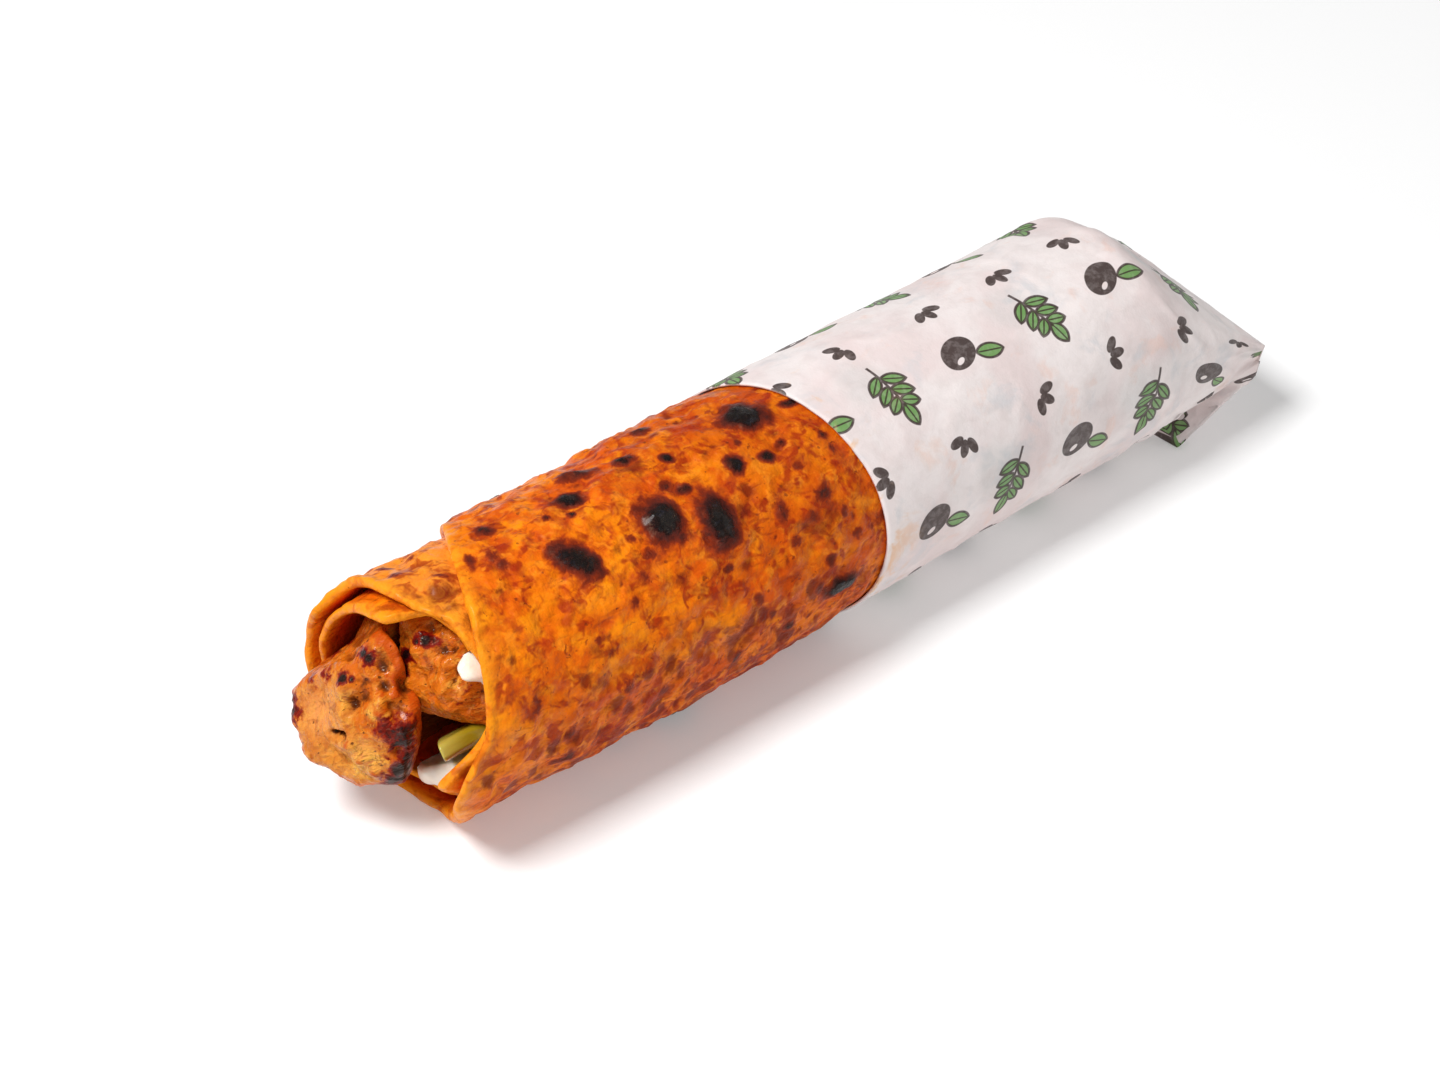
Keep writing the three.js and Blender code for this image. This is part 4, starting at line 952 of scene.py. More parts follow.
class Nodes:
    """The nodes of one tree. Each method adds nodes and gives their output; a value is a number or an
    output to link."""

    def __init__(self, tree):
        self.tree = tree

    def put(self, kind, inputs=(), **settings):
        """Adds a node. Inputs maps a socket's name or number to a value."""
        node = self.tree.nodes.new(kind)
        for key, value in settings.items():
            setattr(node, key, value)
        for key, value in dict(inputs).items():
            if isinstance(value, bpy.types.NodeSocket):
                self.tree.links.new(value, node.inputs[key])
            else:
                node.inputs[key].default_value = value
        return node

    def calc(self, operation, *values):
        """A Math node on one or two values."""
        return self.put("ShaderNodeMath", dict(enumerate(values)), operation=operation).outputs[0]

    def joined(self, operation, first, *others):
        """Math nodes in a row: the first two values, their result with the next, and so on."""
        for value in others:
            first = self.calc(operation, first, value)
        return first

    def plus(self, *values):
        """Sum of the values."""
        return self.joined("ADD", *values)

    def minus(self, first, second):
        """The first value less the second."""
        return self.calc("SUBTRACT", first, second)

    def times(self, *values):
        """Product of the values."""
        return self.joined("MULTIPLY", *values)

    def highest(self, *values):
        """The highest of the values."""
        return self.joined("MAXIMUM", *values)

    def vector(self, operation, *values):
        """A Vector Math node; the second value of a scaling goes to its scale."""
        inputs = {0: values[0], "Scale": values[1]} if operation == "SCALE" else dict(enumerate(values))
        node = self.put("ShaderNodeVectorMath", inputs, operation=operation)
        return node.outputs[1] if operation == "LENGTH" else node.outputs[0]

    def axes(self, where):
        """x, y and z of a vector."""
        return self.put("ShaderNodeSeparateXYZ", {0: where}).outputs

    def point(self, x, y, z=0.0):
        """A vector from x, y and z."""
        return self.put("ShaderNodeCombineXYZ", {0: x, 1: y, 2: z}).outputs[0]

    def turned(self, where, angle):
        """A vector turned round Z by an angle in radians."""
        inputs = {"Vector": where, "Angle": angle}
        return self.put("ShaderNodeVectorRotate", inputs, rotation_type="Z_AXIS").outputs[0]

    def noise(self, where, scale, **inputs):
        """Outputs of a noise texture."""
        return self.put("ShaderNodeTexNoise", {"Vector": where, "Scale": scale, **inputs}).outputs

    def step(self, value, low, high):
        """Smooth step of a value from 0 at low to 1 at high; as numbers, low may be above high."""
        inputs = {"Value": value, "From Min": low, "From Max": high, "To Min": 0.0, "To Max": 1.0}
        if isinstance(low, float) and isinstance(high, float) and low > high:
            inputs.update({"From Min": high, "From Max": low, "To Min": 1.0, "To Max": 0.0})
        return self.put("ShaderNodeMapRange", inputs, interpolation_type="SMOOTHSTEP").outputs["Result"]

    def blend(self, share, below, above, mode="MIX"):
        """A colour laid over another by a share."""
        inputs = {0: share, 6: below, 7: above}
        return self.put("ShaderNodeMix", inputs, data_type="RGBA", blend_type=mode).outputs[2]

    def ramp(self, value, *stops):
        """A colour ramp through (place, sRGB colour) stops."""
        node = self.put("ShaderNodeValToRGB", {0: value})
        elements = node.color_ramp.elements
        while len(elements) < len(stops):
            elements.new(0.5)
        for element, (place, colour) in zip(elements, stops):
            element.position = place
            element.color = linear(colour)
        return node.outputs["Color"]

    def field(self, name):
        """One of the piece's point attributes."""
        return self.put("ShaderNodeAttribute", attribute_name=name).outputs["Fac"]


def new_group(name, outputs, **inputs):
    """A shader node group: its nodes and what it is given. An input without a default is a vector; the
    others and all outputs are single numbers."""
    group = bpy.data.node_groups.new(name, "ShaderNodeTree")
    for label, default in spaced(inputs).items():
        kind = "NodeSocketVector" if default is None else "NodeSocketFloat"
        socket = group.interface.new_socket(label, in_out="INPUT", socket_type=kind)
        if default is not None:
            socket.default_value = default
    for label in outputs:
        group.interface.new_socket(label, in_out="OUTPUT", socket_type="NodeSocketFloat")
    nodes = Nodes(group)
    return nodes, nodes.put("NodeGroupInput").outputs


def mottle_group():
    """Patches: noise of a size in millimetres whose place is dragged by a second noise, stepped from low
    to high."""
    nodes, given = new_group("Mottle", ["Mask"], Vector=None, Size=5.0, Detail=3.0, Low=0.45, High=0.65,
                             Drag=PLAIN_DRAG)
    scale = nodes.calc("DIVIDE", 1 / MM, given["Size"])
    drift = nodes.noise(given["Vector"], nodes.times(scale, 0.8))["Color"]
    pull = nodes.times(given["Size"], given["Drag"], 2 * MM)
    moved = nodes.vector("SCALE", nodes.vector("SUBTRACT", drift, (0.5, 0.5, 0.5)), pull)
    place = nodes.vector("ADD", given["Vector"], moved)
    grain = nodes.noise(place, scale, Detail=given["Detail"], Roughness=0.58)["Fac"]
    nodes.put("NodeGroupOutput", {"Mask": nodes.step(grain, given["Low"], given["High"])})
    return nodes.tree


def pepper_group():
    """Specks: round cells of a size in millimetres, of which a share is filled out to a random radius."""
    nodes, given = new_group("Pepper", ["Mask"], Vector=None, Size=2.0, Share=0.3, Radius=0.3)
    scale = nodes.calc("DIVIDE", 1 / MM, given["Size"])
    drift = nodes.noise(given["Vector"], nodes.times(scale, 2.3))["Color"]
    place = nodes.vector("ADD", given["Vector"], nodes.vector("MULTIPLY", drift, (0.7 * MM,) * 3))
    cells = nodes.put("ShaderNodeTexVoronoi", {"Vector": place, "Scale": scale}).outputs
    chance = nodes.put("ShaderNodeSeparateColor", {0: cells["Color"]}).outputs
    radius = nodes.times(given["Radius"], nodes.plus(0.35, chance[1]))
    outside = nodes.step(cells["Distance"], nodes.times(radius, 0.55), radius)
    chosen = nodes.calc("LESS_THAN", chance[0], given["Share"])
    nodes.put("NodeGroupOutput", {"Mask": nodes.times(nodes.minus(1.0, outside), chosen)})
    return nodes.tree


def grain_group():
    """Fine relief: two sizes of noise in millimetres added as a height."""
    nodes, given = new_group("Fine Grain", ["Height"], Vector=None, Coarse=2.0, Fine=0.6, Share=0.35)
    heights = []
    for label, detail in (("Coarse", 3.0), ("Fine", 2.0)):
        scale = nodes.calc("DIVIDE", 1 / MM, given[label])
        heights.append(nodes.noise(given["Vector"], scale, Detail=detail)["Fac"])
    height = nodes.plus(heights[0], nodes.times(heights[1], given["Share"]))
    nodes.put("NodeGroupOutput", {"Height": height})
    return nodes.tree


def leaf_group():
    """Distance to a pointed leaf: two circles meet at its tips; inside is negative. Its stalk end is at
    Place, its length runs along a turned Y. Rib is the distance to its middle line."""
    nodes, given = new_group("Leaf Shape", ["Distance", "Rib"], Vector=None, Place=None, Turn=0.0,
                             Length=5.0, Half_Width=1.2)
    moved = nodes.vector("SUBTRACT", given["Vector"], given["Place"])
    x, y, _ = nodes.axes(nodes.turned(moved, given["Turn"]))
    half, width = nodes.times(given["Length"], 0.5), given["Half Width"]
    square = nodes.plus(nodes.times(half, half), nodes.times(width, width))
    radius = nodes.calc("DIVIDE", square, nodes.times(width, 2.0))
    rib = nodes.calc("ABSOLUTE", x)
    away = nodes.plus(rib, nodes.minus(radius, width))
    distance = nodes.minus(nodes.vector("LENGTH", nodes.point(away, nodes.minus(y, half))), radius)
    nodes.put("NodeGroupOutput", {"Distance": distance, "Rib": rib})
    return nodes.tree


GROUPS = {"Mottle": mottle_group, "Pepper": pepper_group, "Fine Grain": grain_group, "Leaf Shape": leaf_group}


class Look(Nodes):
    """The nodes of a material: a Principled shader whose constant numbers are set on its own sockets, and
    the place of each point."""

    def __init__(self, name, **constants):
        self.material = bpy.data.materials.new(name)
        self.material.use_nodes = True
        super().__init__(self.material.node_tree)
        self.tree.nodes.clear()
        self.shader = self.put("ShaderNodeBsdfPrincipled", spaced(constants))
        self.put("ShaderNodeOutputMaterial", {"Surface": self.shader.outputs[0]})
        self.place = self.put("ShaderNodeTexCoord").outputs["Object"]

    def use(self, name, where=None, **inputs):
        """Outputs of one of the shared node groups, which is made at its first use."""
        group = bpy.data.node_groups.get(name) or GROUPS[name]()
        inputs["Vector"] = self.place if where is None else where
        return self.put("ShaderNodeGroup", spaced(inputs), node_tree=group).outputs

    def patches(self, size, low, high, detail=2.0, drag=0.8, where=None):
        """A mask of soft patches of a size in millimetres."""
        return self.use("Mottle", where, Size=size, Detail=detail, Low=low, High=high, Drag=drag)[0]

    def specks(self, size, share, radius, where=None):
        """A mask of specks: a share of cells of a size in millimetres."""
        return self.use("Pepper", where, Size=size, Share=share, Radius=radius)[0]

    def grain(self, coarse, fine, share, where=None):
        """A height of two sizes of noise in millimetres, of which the fine one counts by a share."""
        return self.use("Fine Grain", where, Coarse=coarse, Fine=fine, Share=share)[0]

    def stretched(self, share, turn=(0.0, 0.0, 0.0)):
        """The place squeezed along X to a share and then turned: patterns on it are drawn out."""
        inputs = {"Vector": self.place, "Rotation": turn, "Scale": (share, 1.0, 1.0)}
        return self.put("ShaderNodeMapping", inputs).outputs[0]

    def ragged(self, name, size, factor, detail=2.0):
        """A field made uneven by patches: a factor times how far they are from their middle is added."""
        patches = self.patches(size, 0.3, 0.7, detail)
        return self.plus(self.field(name), self.times(self.minus(patches, 0.5), factor))

    def tint(self, colour, *layers):
        """Lays colours over a colour in turn: (mask, how much of it, sRGB colour)."""
        for mask, factor, srgb in layers:
            colour = self.blend(self.times(mask, factor), colour, linear(srgb))
        return colour

    def darken(self, colour, value, low, high, *stops):
        """Lays a ramp of a value's own over a colour, from nothing at low to all of it at high."""
        return self.blend(self.step(value, low, high), colour, self.ramp(value, *stops))

    def finish(self, height, strength, distance, **outputs):
        """Links outputs to the shader's sockets, gives it a bump of the height and returns the material."""
        relief = self.put("ShaderNodeBump", {"Height": height, "Strength": strength, "Distance": distance})
        for name, output in spaced({"Normal": relief.outputs[0], **outputs}).items():
            self.tree.links.new(output, self.shader.inputs[name])
        return self.material


def bread_material(colours):
    """Toasted bread: golden and orange dough in drifting patches, smears and flecks of red-brown that crowd
    toward the underside, painted shade that darkens the underside, a painted red glow of bounced light on the
    inside faces by the rim, and blisters whose maroon skirts darken to a charred black with bluish patches of
    soot and painted sheen."""
    look = Look("toasted_flatbread", IOR=1.4, Specular_IOR_Level=0.22, Specular_Tint=(1.0, 0.72, 0.42, 1.0),
                Coat_Roughness=0.2, Coat_IOR=1.45, Subsurface_Weight=0.04, Subsurface_Radius=(0.9, 0.3, 0.08),
                Subsurface_Scale=0.0014)
    patches, plus, minus, times = look.patches, look.plus, look.minus, look.times
    low, rim = look.field("low"), look.field("rim")
    clear = minus(1.0, times(rim, 0.55))
    aslant = look.stretched(0.4, (0.5, 0.15, 0.3))
    smear = patches(5.6, 0.48, 0.66, drag=1.6)
    colour = look.blend(patches(14.0, 0.34, 0.66), (*colours.crust,), (*colours.pale,))
    colour = look.tint(
        colour,
        (patches(7.5, 0.46, 0.68), 0.78, (250, 146, 8)),
        (patches(8.0, 0.46, 0.68, 3.0, 1.2), 0.74, (188, 62, 5)),
        (look.field("under"), 0.55, (248, 158, 52)),
        # on the underside the plain tint (184, 60, 8) is painted shade; the dark patches after it are
        # red-brown smears that crowd there
        (low, 0.40, (184, 60, 8)),
        (look.field("brown"), 0.42, (168, 50, 5)),
        (times(smear, clear), 0.80, (152, 32, 8)),
        (times(patches(6.5, 0.47, 0.62, 2.2, 1.5), low, clear), 0.82, (122, 26, 6)),
        (times(patches(3.0, 0.55, 0.70, 2.0, 1.0, aslant), clear), 0.55, (142, 38, 8)),
        (times(patches(4.4, 0.52, 0.72, 2.0, 1.2), minus(1.0, times(low, 0.30))), 0.60, (250, 146, 30)))
    cream = times(rim, minus(1.0, times(smear, 0.7)), 0.75)
    colour = look.blend(cream, colour, (*colours.rim,))
    blotch = look.step(plus(look.field("blotch"), times(patches(2.0, 0.3, 0.7), 0.16)), 0.12, 0.60)
    crowd = plus(0.03, times(low, 0.20), patches(2.3, 0.46, 0.84, 2.0, 1.2))
    fleck = times(look.step(crowd, 0.60, 1.0), clear)
    colour = look.tint(
        colour,
        # painted light: the inner faces by the rim take the saturated red of light bounced and shone through
        # inside the roll
        (look.field("inside"), 0.88, (224, 58, 4)),
        (times(blotch, clear), 0.84, (112, 26, 8)),
        (fleck, 0.70, (124, 32, 8)),
        (look.specks(2.1, 0.24, 0.20), 0.60, (96, 32, 14)))
    grainy = patches(1.2, 0.25, 0.75, 3.0)
    colour = look.blend(times(grainy, 0.08), colour, linear((150, 66, 14)), "MULTIPLY")
    colour = look.darken(colour, look.ragged("halo", 2.4, 0.24), 0.10, 0.46, (0.22, (176, 64, 12)),
                         (0.45, (128, 40, 14)), (0.70, (82, 27, 20)), (0.96, (38, 15, 18)))
    char = look.step(look.ragged("char", 1.8, 0.40, 3.0), 0.46, 0.92)
    # char with bluish-grey patches: partly soot, partly painted sheen
    soot = look.blend(patches(1.8, 0.52, 0.80), (*colours.char,), linear((36, 34, 46)))
    dull = patches(5.0, 0.35, 0.65)
    oily = times(minus(1.0, dull), minus(0.22, times(low, 0.22)))
    height = minus(look.grain(4.4, 1.6, 0.26), times(look.highest(blotch, fleck), 0.12))
    return look.finish(plus(height, times(char, grainy)), 0.8, 0.0015,
                       Base_Color=look.blend(char, colour, soot),
                       Roughness=minus(plus(0.42, times(dull, 0.16)), times(char, 0.16)),
                       Coat_Weight=look.highest(oily, times(char, 0.42)))


def chicken_material(colours):
    """Grilled chicken: pinkish tan where it was cut, spiced and browned on its outer sides and edges,
    scorched in places with bluish patches of soot and painted sheen, darkened by painted shade in its pits,
    crevices and deeper in the roll, with pale strands brightened partly by painted highlight, peppered and
    moist."""
    look = Look("grilled_chicken", IOR=1.4, Specular_IOR_Level=0.26, Specular_Tint=(1.0, 0.74, 0.42, 1.0),
                Coat_Roughness=0.12, Coat_IOR=1.35, Subsurface_Weight=0.12,
                Subsurface_Radius=(1.0, 0.36, 0.14), Subsurface_Scale=0.0014)
    patches, plus, minus, times = look.patches, look.plus, look.minus, look.times
    fibres = look.stretched(0.3, (0.4, 0.5, 0.2))
    cut, light = look.field("cut"), look.field("pale")
    outer = look.blend(patches(5.0, 0.36, 0.66), (*colours.spice,), linear((204, 104, 14)))
    outer = look.tint(outer, (patches(3.0, 0.47, 0.70, 3.0), 0.70, (128, 46, 5)))
    inner = look.tint(
        (*colours.meat,),
        (patches(5.5, 0.40, 0.64), 0.80, (188, 100, 28)),
        (patches(2.2, 0.46, 0.72, 3.0, where=fibres), 0.50, (166, 80, 26)),
        (look.field("pink"), 0.60, (232, 154, 90)),
        (patches(3.6, 0.52, 0.68, 2.0, 1.2), 0.60, (146, 60, 12)),
        # the pale places: partly pale meat, partly painted highlight
        (times(light, patches(2.6, 0.36, 0.58)), 0.70, (250, 180, 72)))
    bare = minus(look.highest(cut, light), times(patches(5.0, 0.40, 0.70), 0.30))
    colour = look.blend(look.step(bare, 0.20, 0.70), outer, inner)
    strands = times(patches(1.5, 0.48, 0.64, 2.0, 0.5, fibres), plus(0.25, light))
    worn = plus(look.field("edge"), times(patches(2.0, 0.3, 0.7), 0.3))
    colour = look.tint(
        colour,
        # pale stringy fibres, brightened partly by painted highlight
        (strands, 0.70, (248, 182, 72)),
        (look.step(worn, 0.40, 1.1), 0.75, (184, 64, 6)),
        # painted shade in the crevices
        (look.field("crevice"), 0.72, (108, 38, 6)))
    # painted shade in the pits, darkest where the ramp runs out
    colour = look.darken(colour, look.ragged("pit", 1.6, 0.25), 0.14, 0.50, (0.15, (166, 80, 18)),
                         (0.45, (98, 42, 10)), (0.85, (38, 14, 6)))
    specks = look.specks(1.8, 0.30, 0.20)
    colour = look.tint(
        colour,
        # painted shade deeper inside the roll
        (look.field("deep"), 0.80, (82, 26, 5)),
        (look.highest(specks, look.specks(0.9, 0.14, 0.26, fibres)), 0.85, (82, 34, 12)))
    colour = look.darken(colour, look.ragged("halo", 1.6, 0.34), 0.14, 0.46, (0.20, (166, 52, 8)),
                         (0.42, (132, 20, 8)), (0.70, (82, 8, 8)), (0.95, (36, 8, 12)))
    char = look.step(look.ragged("char", 1.2, 0.45, 3.0), 0.50, 0.84)
    # scorch with purple-grey patches: partly soot, partly painted sheen
    soot = look.blend(patches(1.2, 0.50, 0.80), (*colours.scorch,), linear((44, 24, 32)))
    wet = patches(3.4, 0.42, 0.62, 3.0)
    moist = minus(plus(0.06, times(wet, 0.46)), times(cut, 0.04))
    height = plus(look.grain(2.2, 0.7, 0.35, fibres), times(strands, 0.40))
    return look.finish(minus(height, times(specks, 0.2)), 0.8, 0.0012,
                       Base_Color=look.blend(char, colour, soot), Roughness=minus(0.46, times(wet, 0.16)),
                       Coat_Weight=look.highest(moist, times(char, 0.2)))


def sauce_material(colours):
    """Garlic sauce: thick, white and glossy, stained in places by the juices."""
    look = Look("garlic_sauce", Roughness=0.28, IOR=1.45, Coat_Weight=0.25, Coat_Roughness=0.12,
                Subsurface_Weight=0.35, Subsurface_Radius=(1.0, 0.8, 0.6), Subsurface_Scale=0.002)
    stain = look.patches(6.0, 0.50, 0.72, 3.0, PLAIN_DRAG)
    return look.finish(look.grain(2.5, 0.9, 0.2), 0.3, 0.0006,
                       Base_Color=look.tint((*colours.sauce,), (stain, 0.35, (232, 178, 120))))


def pickle_material(colours):
    """Pickled cucumber: olive flesh with faint streaks, a darker skin and a paler, wet cut end, whose
    paleness fades some millimetres back along the slice: partly the cut flesh, partly painted sheen.
    """
    look = Look("pickled_cucumber", Roughness=0.22, IOR=1.42, Coat_Weight=0.35, Coat_Roughness=0.1,
                Subsurface_Weight=0.3, Subsurface_Radius=(0.7, 0.9, 0.2), Subsurface_Scale=0.002)
    streaks = look.stretched(0.25)
    colour = look.tint(
        (*colours.pickle,),
        (look.patches(2.2, 0.38, 0.66, 4.0, PLAIN_DRAG, streaks), 0.50, (184, 166, 48)),
        (look.field("skin"), 0.40, (108, 96, 10)),
        # paler toward the cut end: partly the cut flesh, partly painted sheen
        (look.field("cut"), 0.60, (200, 184, 92)))
    return look.finish(look.grain(1.6, 0.6, 0.3, streaks), 0.3, 0.0006, Base_Color=colour)


def lattice(look, uv, shift, seed, swing, scale=1.0, pitch=PRINT_X):
    """Repeats a motif on a staggered lattice of cells: the place in the middle of the nearest cell, turned
    by a random swing in radians and enlarged by the scale. Sizes are millimetres on the paper."""
    x, y, _ = look.axes(look.vector("ADD", uv, (*shift, 0.0)))
    row = look.calc("FLOOR", look.calc("DIVIDE", y, PRINT_Y))
    x = look.plus(x, look.times(look.calc("PINGPONG", row, 1.0), pitch / 2))
    column = look.calc("FLOOR", look.calc("DIVIDE", x, pitch))
    x = look.minus(x, look.times(look.plus(column, 0.5), pitch))
    y = look.minus(y, look.times(look.plus(row, 0.5), PRINT_Y))
    cell = {"Vector": look.point(column, row, float(seed))}
    chance = look.put("ShaderNodeTexWhiteNoise", cell, noise_dimensions="3D").outputs["Value"]
    turn = look.times(look.minus(chance, 0.5), 2 * swing)
    return look.turned(look.vector("SCALE", look.point(x, y), 1 / scale), turn)


def ink(look, distance, half_width):
    """1 within half a line's width of a distance of zero, with a soft edge of a fifth of a millimetre."""
    return look.step(look.calc("ABSOLUTE", distance), half_width + 0.14, half_width - 0.06)


def oval_reach(look, place, centre, squash=(1.0, 1.0)):
    """Distance from a centre, where each side counts by its own factor."""
    moved = look.vector("SUBTRACT", place, (*centre, 0.0))
    return look.vector("LENGTH", look.vector("MULTIPLY", moved, (*squash, 1.0)))


def leaf_print(look, place, start, turn, length, half_width, full_vein):
    """Distance to a leaf and its vein, a line that sets in within the edge and is full a little deeper."""
    distance, rib = look.use("Leaf Shape", place, Place=(*start, 0.0), Turn=turn, Length=length,
                             Half_Width=half_width)
    return distance, look.times(ink(look, rib, 0.14), look.step(distance, -0.1, full_vein))


def sprig_print(look, place):
    """A sprig: a stem with three pairs of leaves and one at its tip. Gives the green fill and brown line."""
    leaves = [(3.2, 0.0, 5.2, 1.45)]
    for height, length in ((-4.2, 5.4), (-1.2, 5.0), (1.6, 4.2)):
        leaves += [(height, -1.0, length, 1.25), (height + 0.7, 1.0, length, 1.25)]
    drawn = [leaf_print(look, place, (0.0, height), *leaf, -0.4) for height, *leaf in leaves]
    distance = look.joined("MINIMUM", *[leaf[0] for leaf in drawn])
    veins = look.highest(*[leaf[1] for leaf in drawn])
    x, y, _ = look.axes(place)
    stem = look.times(ink(look, x, 0.28), look.step(y, -7.4, -7.1), look.step(y, 4.2, 3.9))
    return look.step(distance, 0.05, -0.2), look.highest(ink(look, distance, 0.26), stem, veins)


def olive_print(look, place):
    """An olive: a solid brown oval with a light glint, and one green leaf on its stalk."""
    oval = look.step(oval_reach(look, place, (-1.4, -1.2), (1.0, 1.28)), 4.6, 4.4)
    glint = look.step(oval_reach(look, place, (-2.8, 0.2), (1.0, 1.9)), 1.25, 1.0)
    body = look.times(oval, look.minus(1.0, glint))
    distance, vein = leaf_print(look, place, (1.2, 1.8), 0.9, 6.4, 1.7, -0.5)
    return look.step(distance, 0.05, -0.2), look.highest(ink(look, distance, 0.24), body, vein)


def seed_print(look, place):
    """Three seeds: brown ovals fanned out from one point."""
    turned = [look.turned(place, turn) for turn in (-0.85, 0.0, 0.85)]
    reaches = [oval_reach(look, seed, (0.0, 3.0), (1.75, 1.0)) for seed in turned]
    return look.highest(*[look.step(reach, 2.2, 1.95) for reach in reaches])


def paper_material(colours):
    """Greaseproof paper: white with faint ghosts of the layers below, a printed pattern of sprigs, olives
    and seeds, and oil stains by the bread."""
    look = Look("printed_greaseproof", IOR=1.45, Coat_Weight=0.06, Coat_Roughness=0.35,
                Subsurface_Weight=0.12, Subsurface_Radius=(1.0, 0.9, 0.85), Subsurface_Scale=0.001)
    uv = look.put("ShaderNodeUVMap", uv_map="UVMap").outputs[0]
    uv = look.vector("MULTIPLY", uv, (UV_UNIT, UV_UNIT, 1.0))
    cloud = look.patches(26.0, 0.38, 0.62, 4.0, PLAIN_DRAG)
    # the same print on the layer below shows through, blurred
    ghost = look.step(oval_reach(look, lattice(look, uv, (11.0, 9.0), 5, 0.6), (0.0, 0.0)), 8.5, 3.0)
    colour = look.tint(
        (*colours.paper,),
        (cloud, 0.70, (222, 202, 200)),
        (look.patches(12.0, 0.54, 0.70, 4.0, PLAIN_DRAG), 0.50, (196, 198, 202)),
        (look.patches(9.0, 0.56, 0.70, 4.0, PLAIN_DRAG), 0.40, (232, 192, 176)),
        (look.patches(4.0, 0.40, 0.70, 6.0, 1.4), 0.25, (206, 194, 190)),
        (ghost, 0.22, (176, 186, 184)))
    sprig_fill, sprig_line = sprig_print(look, lattice(look, uv, (6.0, 4.0), 1, 0.55, 1.12))
    olive_fill, olive_line = olive_print(look, lattice(look, uv, (28.0, 4.0), 2, 0.6, 1.1))
    seeds = seed_print(look, lattice(look, uv, (17.0, 20.5), 3, 1.6, pitch=PRINT_X / 2))
    worn = look.plus(0.88, look.times(look.patches(1.6, 0.3, 0.6, 3.0, PLAIN_DRAG), 0.12))
    outer = look.times(look.minus(1.0, look.field("within")), worn)
    green = look.times(look.highest(sprig_fill, olive_fill), outer)
    brown = look.times(look.highest(sprig_line, olive_line, seeds), outer)
    colour = look.blend(look.times(green, 0.92), colour, (*colours.green_ink,))
    colour = look.blend(look.times(brown, 0.96), colour, (*colours.brown_ink,))
    oil = look.times(look.patches(9.0, 0.52, 0.66, 4.0, PLAIN_DRAG), look.field("near_edge"))
    return look.finish(look.grain(4.0, 0.5, 0.12), 0.35, 0.0006,
                       Base_Color=look.tint(colour, (oil, 0.75, (226, 172, 108))),
                       Roughness=look.plus(0.46, look.times(cloud, 0.12)))


# ---- settings, operators and panel -----------------------------------------------------------------------

def colour_property(label, about, srgb):
    """A colour setting whose default is an sRGB colour."""
    return FloatVectorProperty(name=label, description=about, subtype="COLOR", size=4, min=0, max=1,
                               default=linear(srgb))


class WrapBreadSettings(bpy.types.PropertyGroup):
    """Sizes and colours of the flatbread."""
    blisters: FloatProperty(name="Blister height", description="Height of the charred blisters, as a share",
                            default=1.0, min=0, max=2, subtype="FACTOR")
    crust: colour_property("Crust", "Main colour of the toasted bread", (218, 90, 3))
    pale: colour_property("Pale dough", "Colour of the less toasted patches", (238, 124, 6))
    rim: colour_property("Rim", "Colour of the soft cut edge", (244, 152, 26))
    char: colour_property("Char", "Colour of the burnt blisters", (18, 12, 14))


class WrapFillingSettings(bpy.types.PropertyGroup):
    """Sizes and colours of the filling."""
    relief: FloatProperty(name="Meat relief", description="Depth of the lumps and fibres, as a share",
                          default=1.0, min=0, max=2, subtype="FACTOR")
    meat: colour_property("Meat", "Colour of the cut chicken", (212, 130, 46))
    spice: colour_property("Spice", "Colour of the spiced, browned surface", (202, 96, 16))
    scorch: colour_property("Scorch", "Colour of the scorched places", (28, 10, 12))
    sauce: colour_property("Garlic sauce", "Colour of the garlic sauce", (246, 238, 222))
    pickle: colour_property("Pickle", "Colour of the pickle's flesh", (162, 136, 18))


class WrapPaperSettings(bpy.types.PropertyGroup):
    """Sizes and colours of the greaseproof paper."""
    wrinkle: FloatProperty(name="Wrinkles", description="Height of the wrinkles, as a share",
                           default=1.0, min=0, max=2, subtype="FACTOR")
    paper: colour_property("Paper", "Colour of the plain paper", (236, 226, 224))
    green_ink: colour_property("Green ink", "Colour of the printed leaves", (92, 146, 62))
    brown_ink: colour_property("Brown ink", "Colour of the printed lines", (56, 38, 34))


# The studio's lamps: name, place, size in metres, power in watts
LAMPS = [("key", (-0.62, 0.10, 1.08), 0.42, 15.0), ("fill", (-0.5, -1.2, 0.75), 1.0, 2.3),
         ("side", (0.9, -0.7, 0.8), 1.0, 1.4)]
LAMP_TARGET = (-0.01, 0, 0.02)


class WrapStageSettings(bpy.types.PropertyGroup):
    """The camera and the studio."""
    azimuth: FloatProperty(name="Azimuth", description="Camera angle round the wrap", subtype="ANGLE",
                           default=-40.26 * DEG)
    elevation: FloatProperty(name="Elevation", description="Camera angle above the floor", subtype="ANGLE",
                             default=40.24 * DEG)
    distance: FloatProperty(name="Distance", description="Distance from the target to the camera",
                            unit="LENGTH", default=0.8138, min=0.1)
    lens: FloatProperty(name="Lens", description="Focal length on a 36 mm sensor, in millimetres",
                        default=92.507, min=10)
    target: FloatVectorProperty(name="Target", description="Point that the camera looks at",
                                subtype="XYZ", unit="LENGTH", size=3, default=(-0.02197, 0.00134, 0.02497))
    floor: FloatProperty(name="Floor", description="Half the width of the floor", unit="LENGTH", default=3.0)


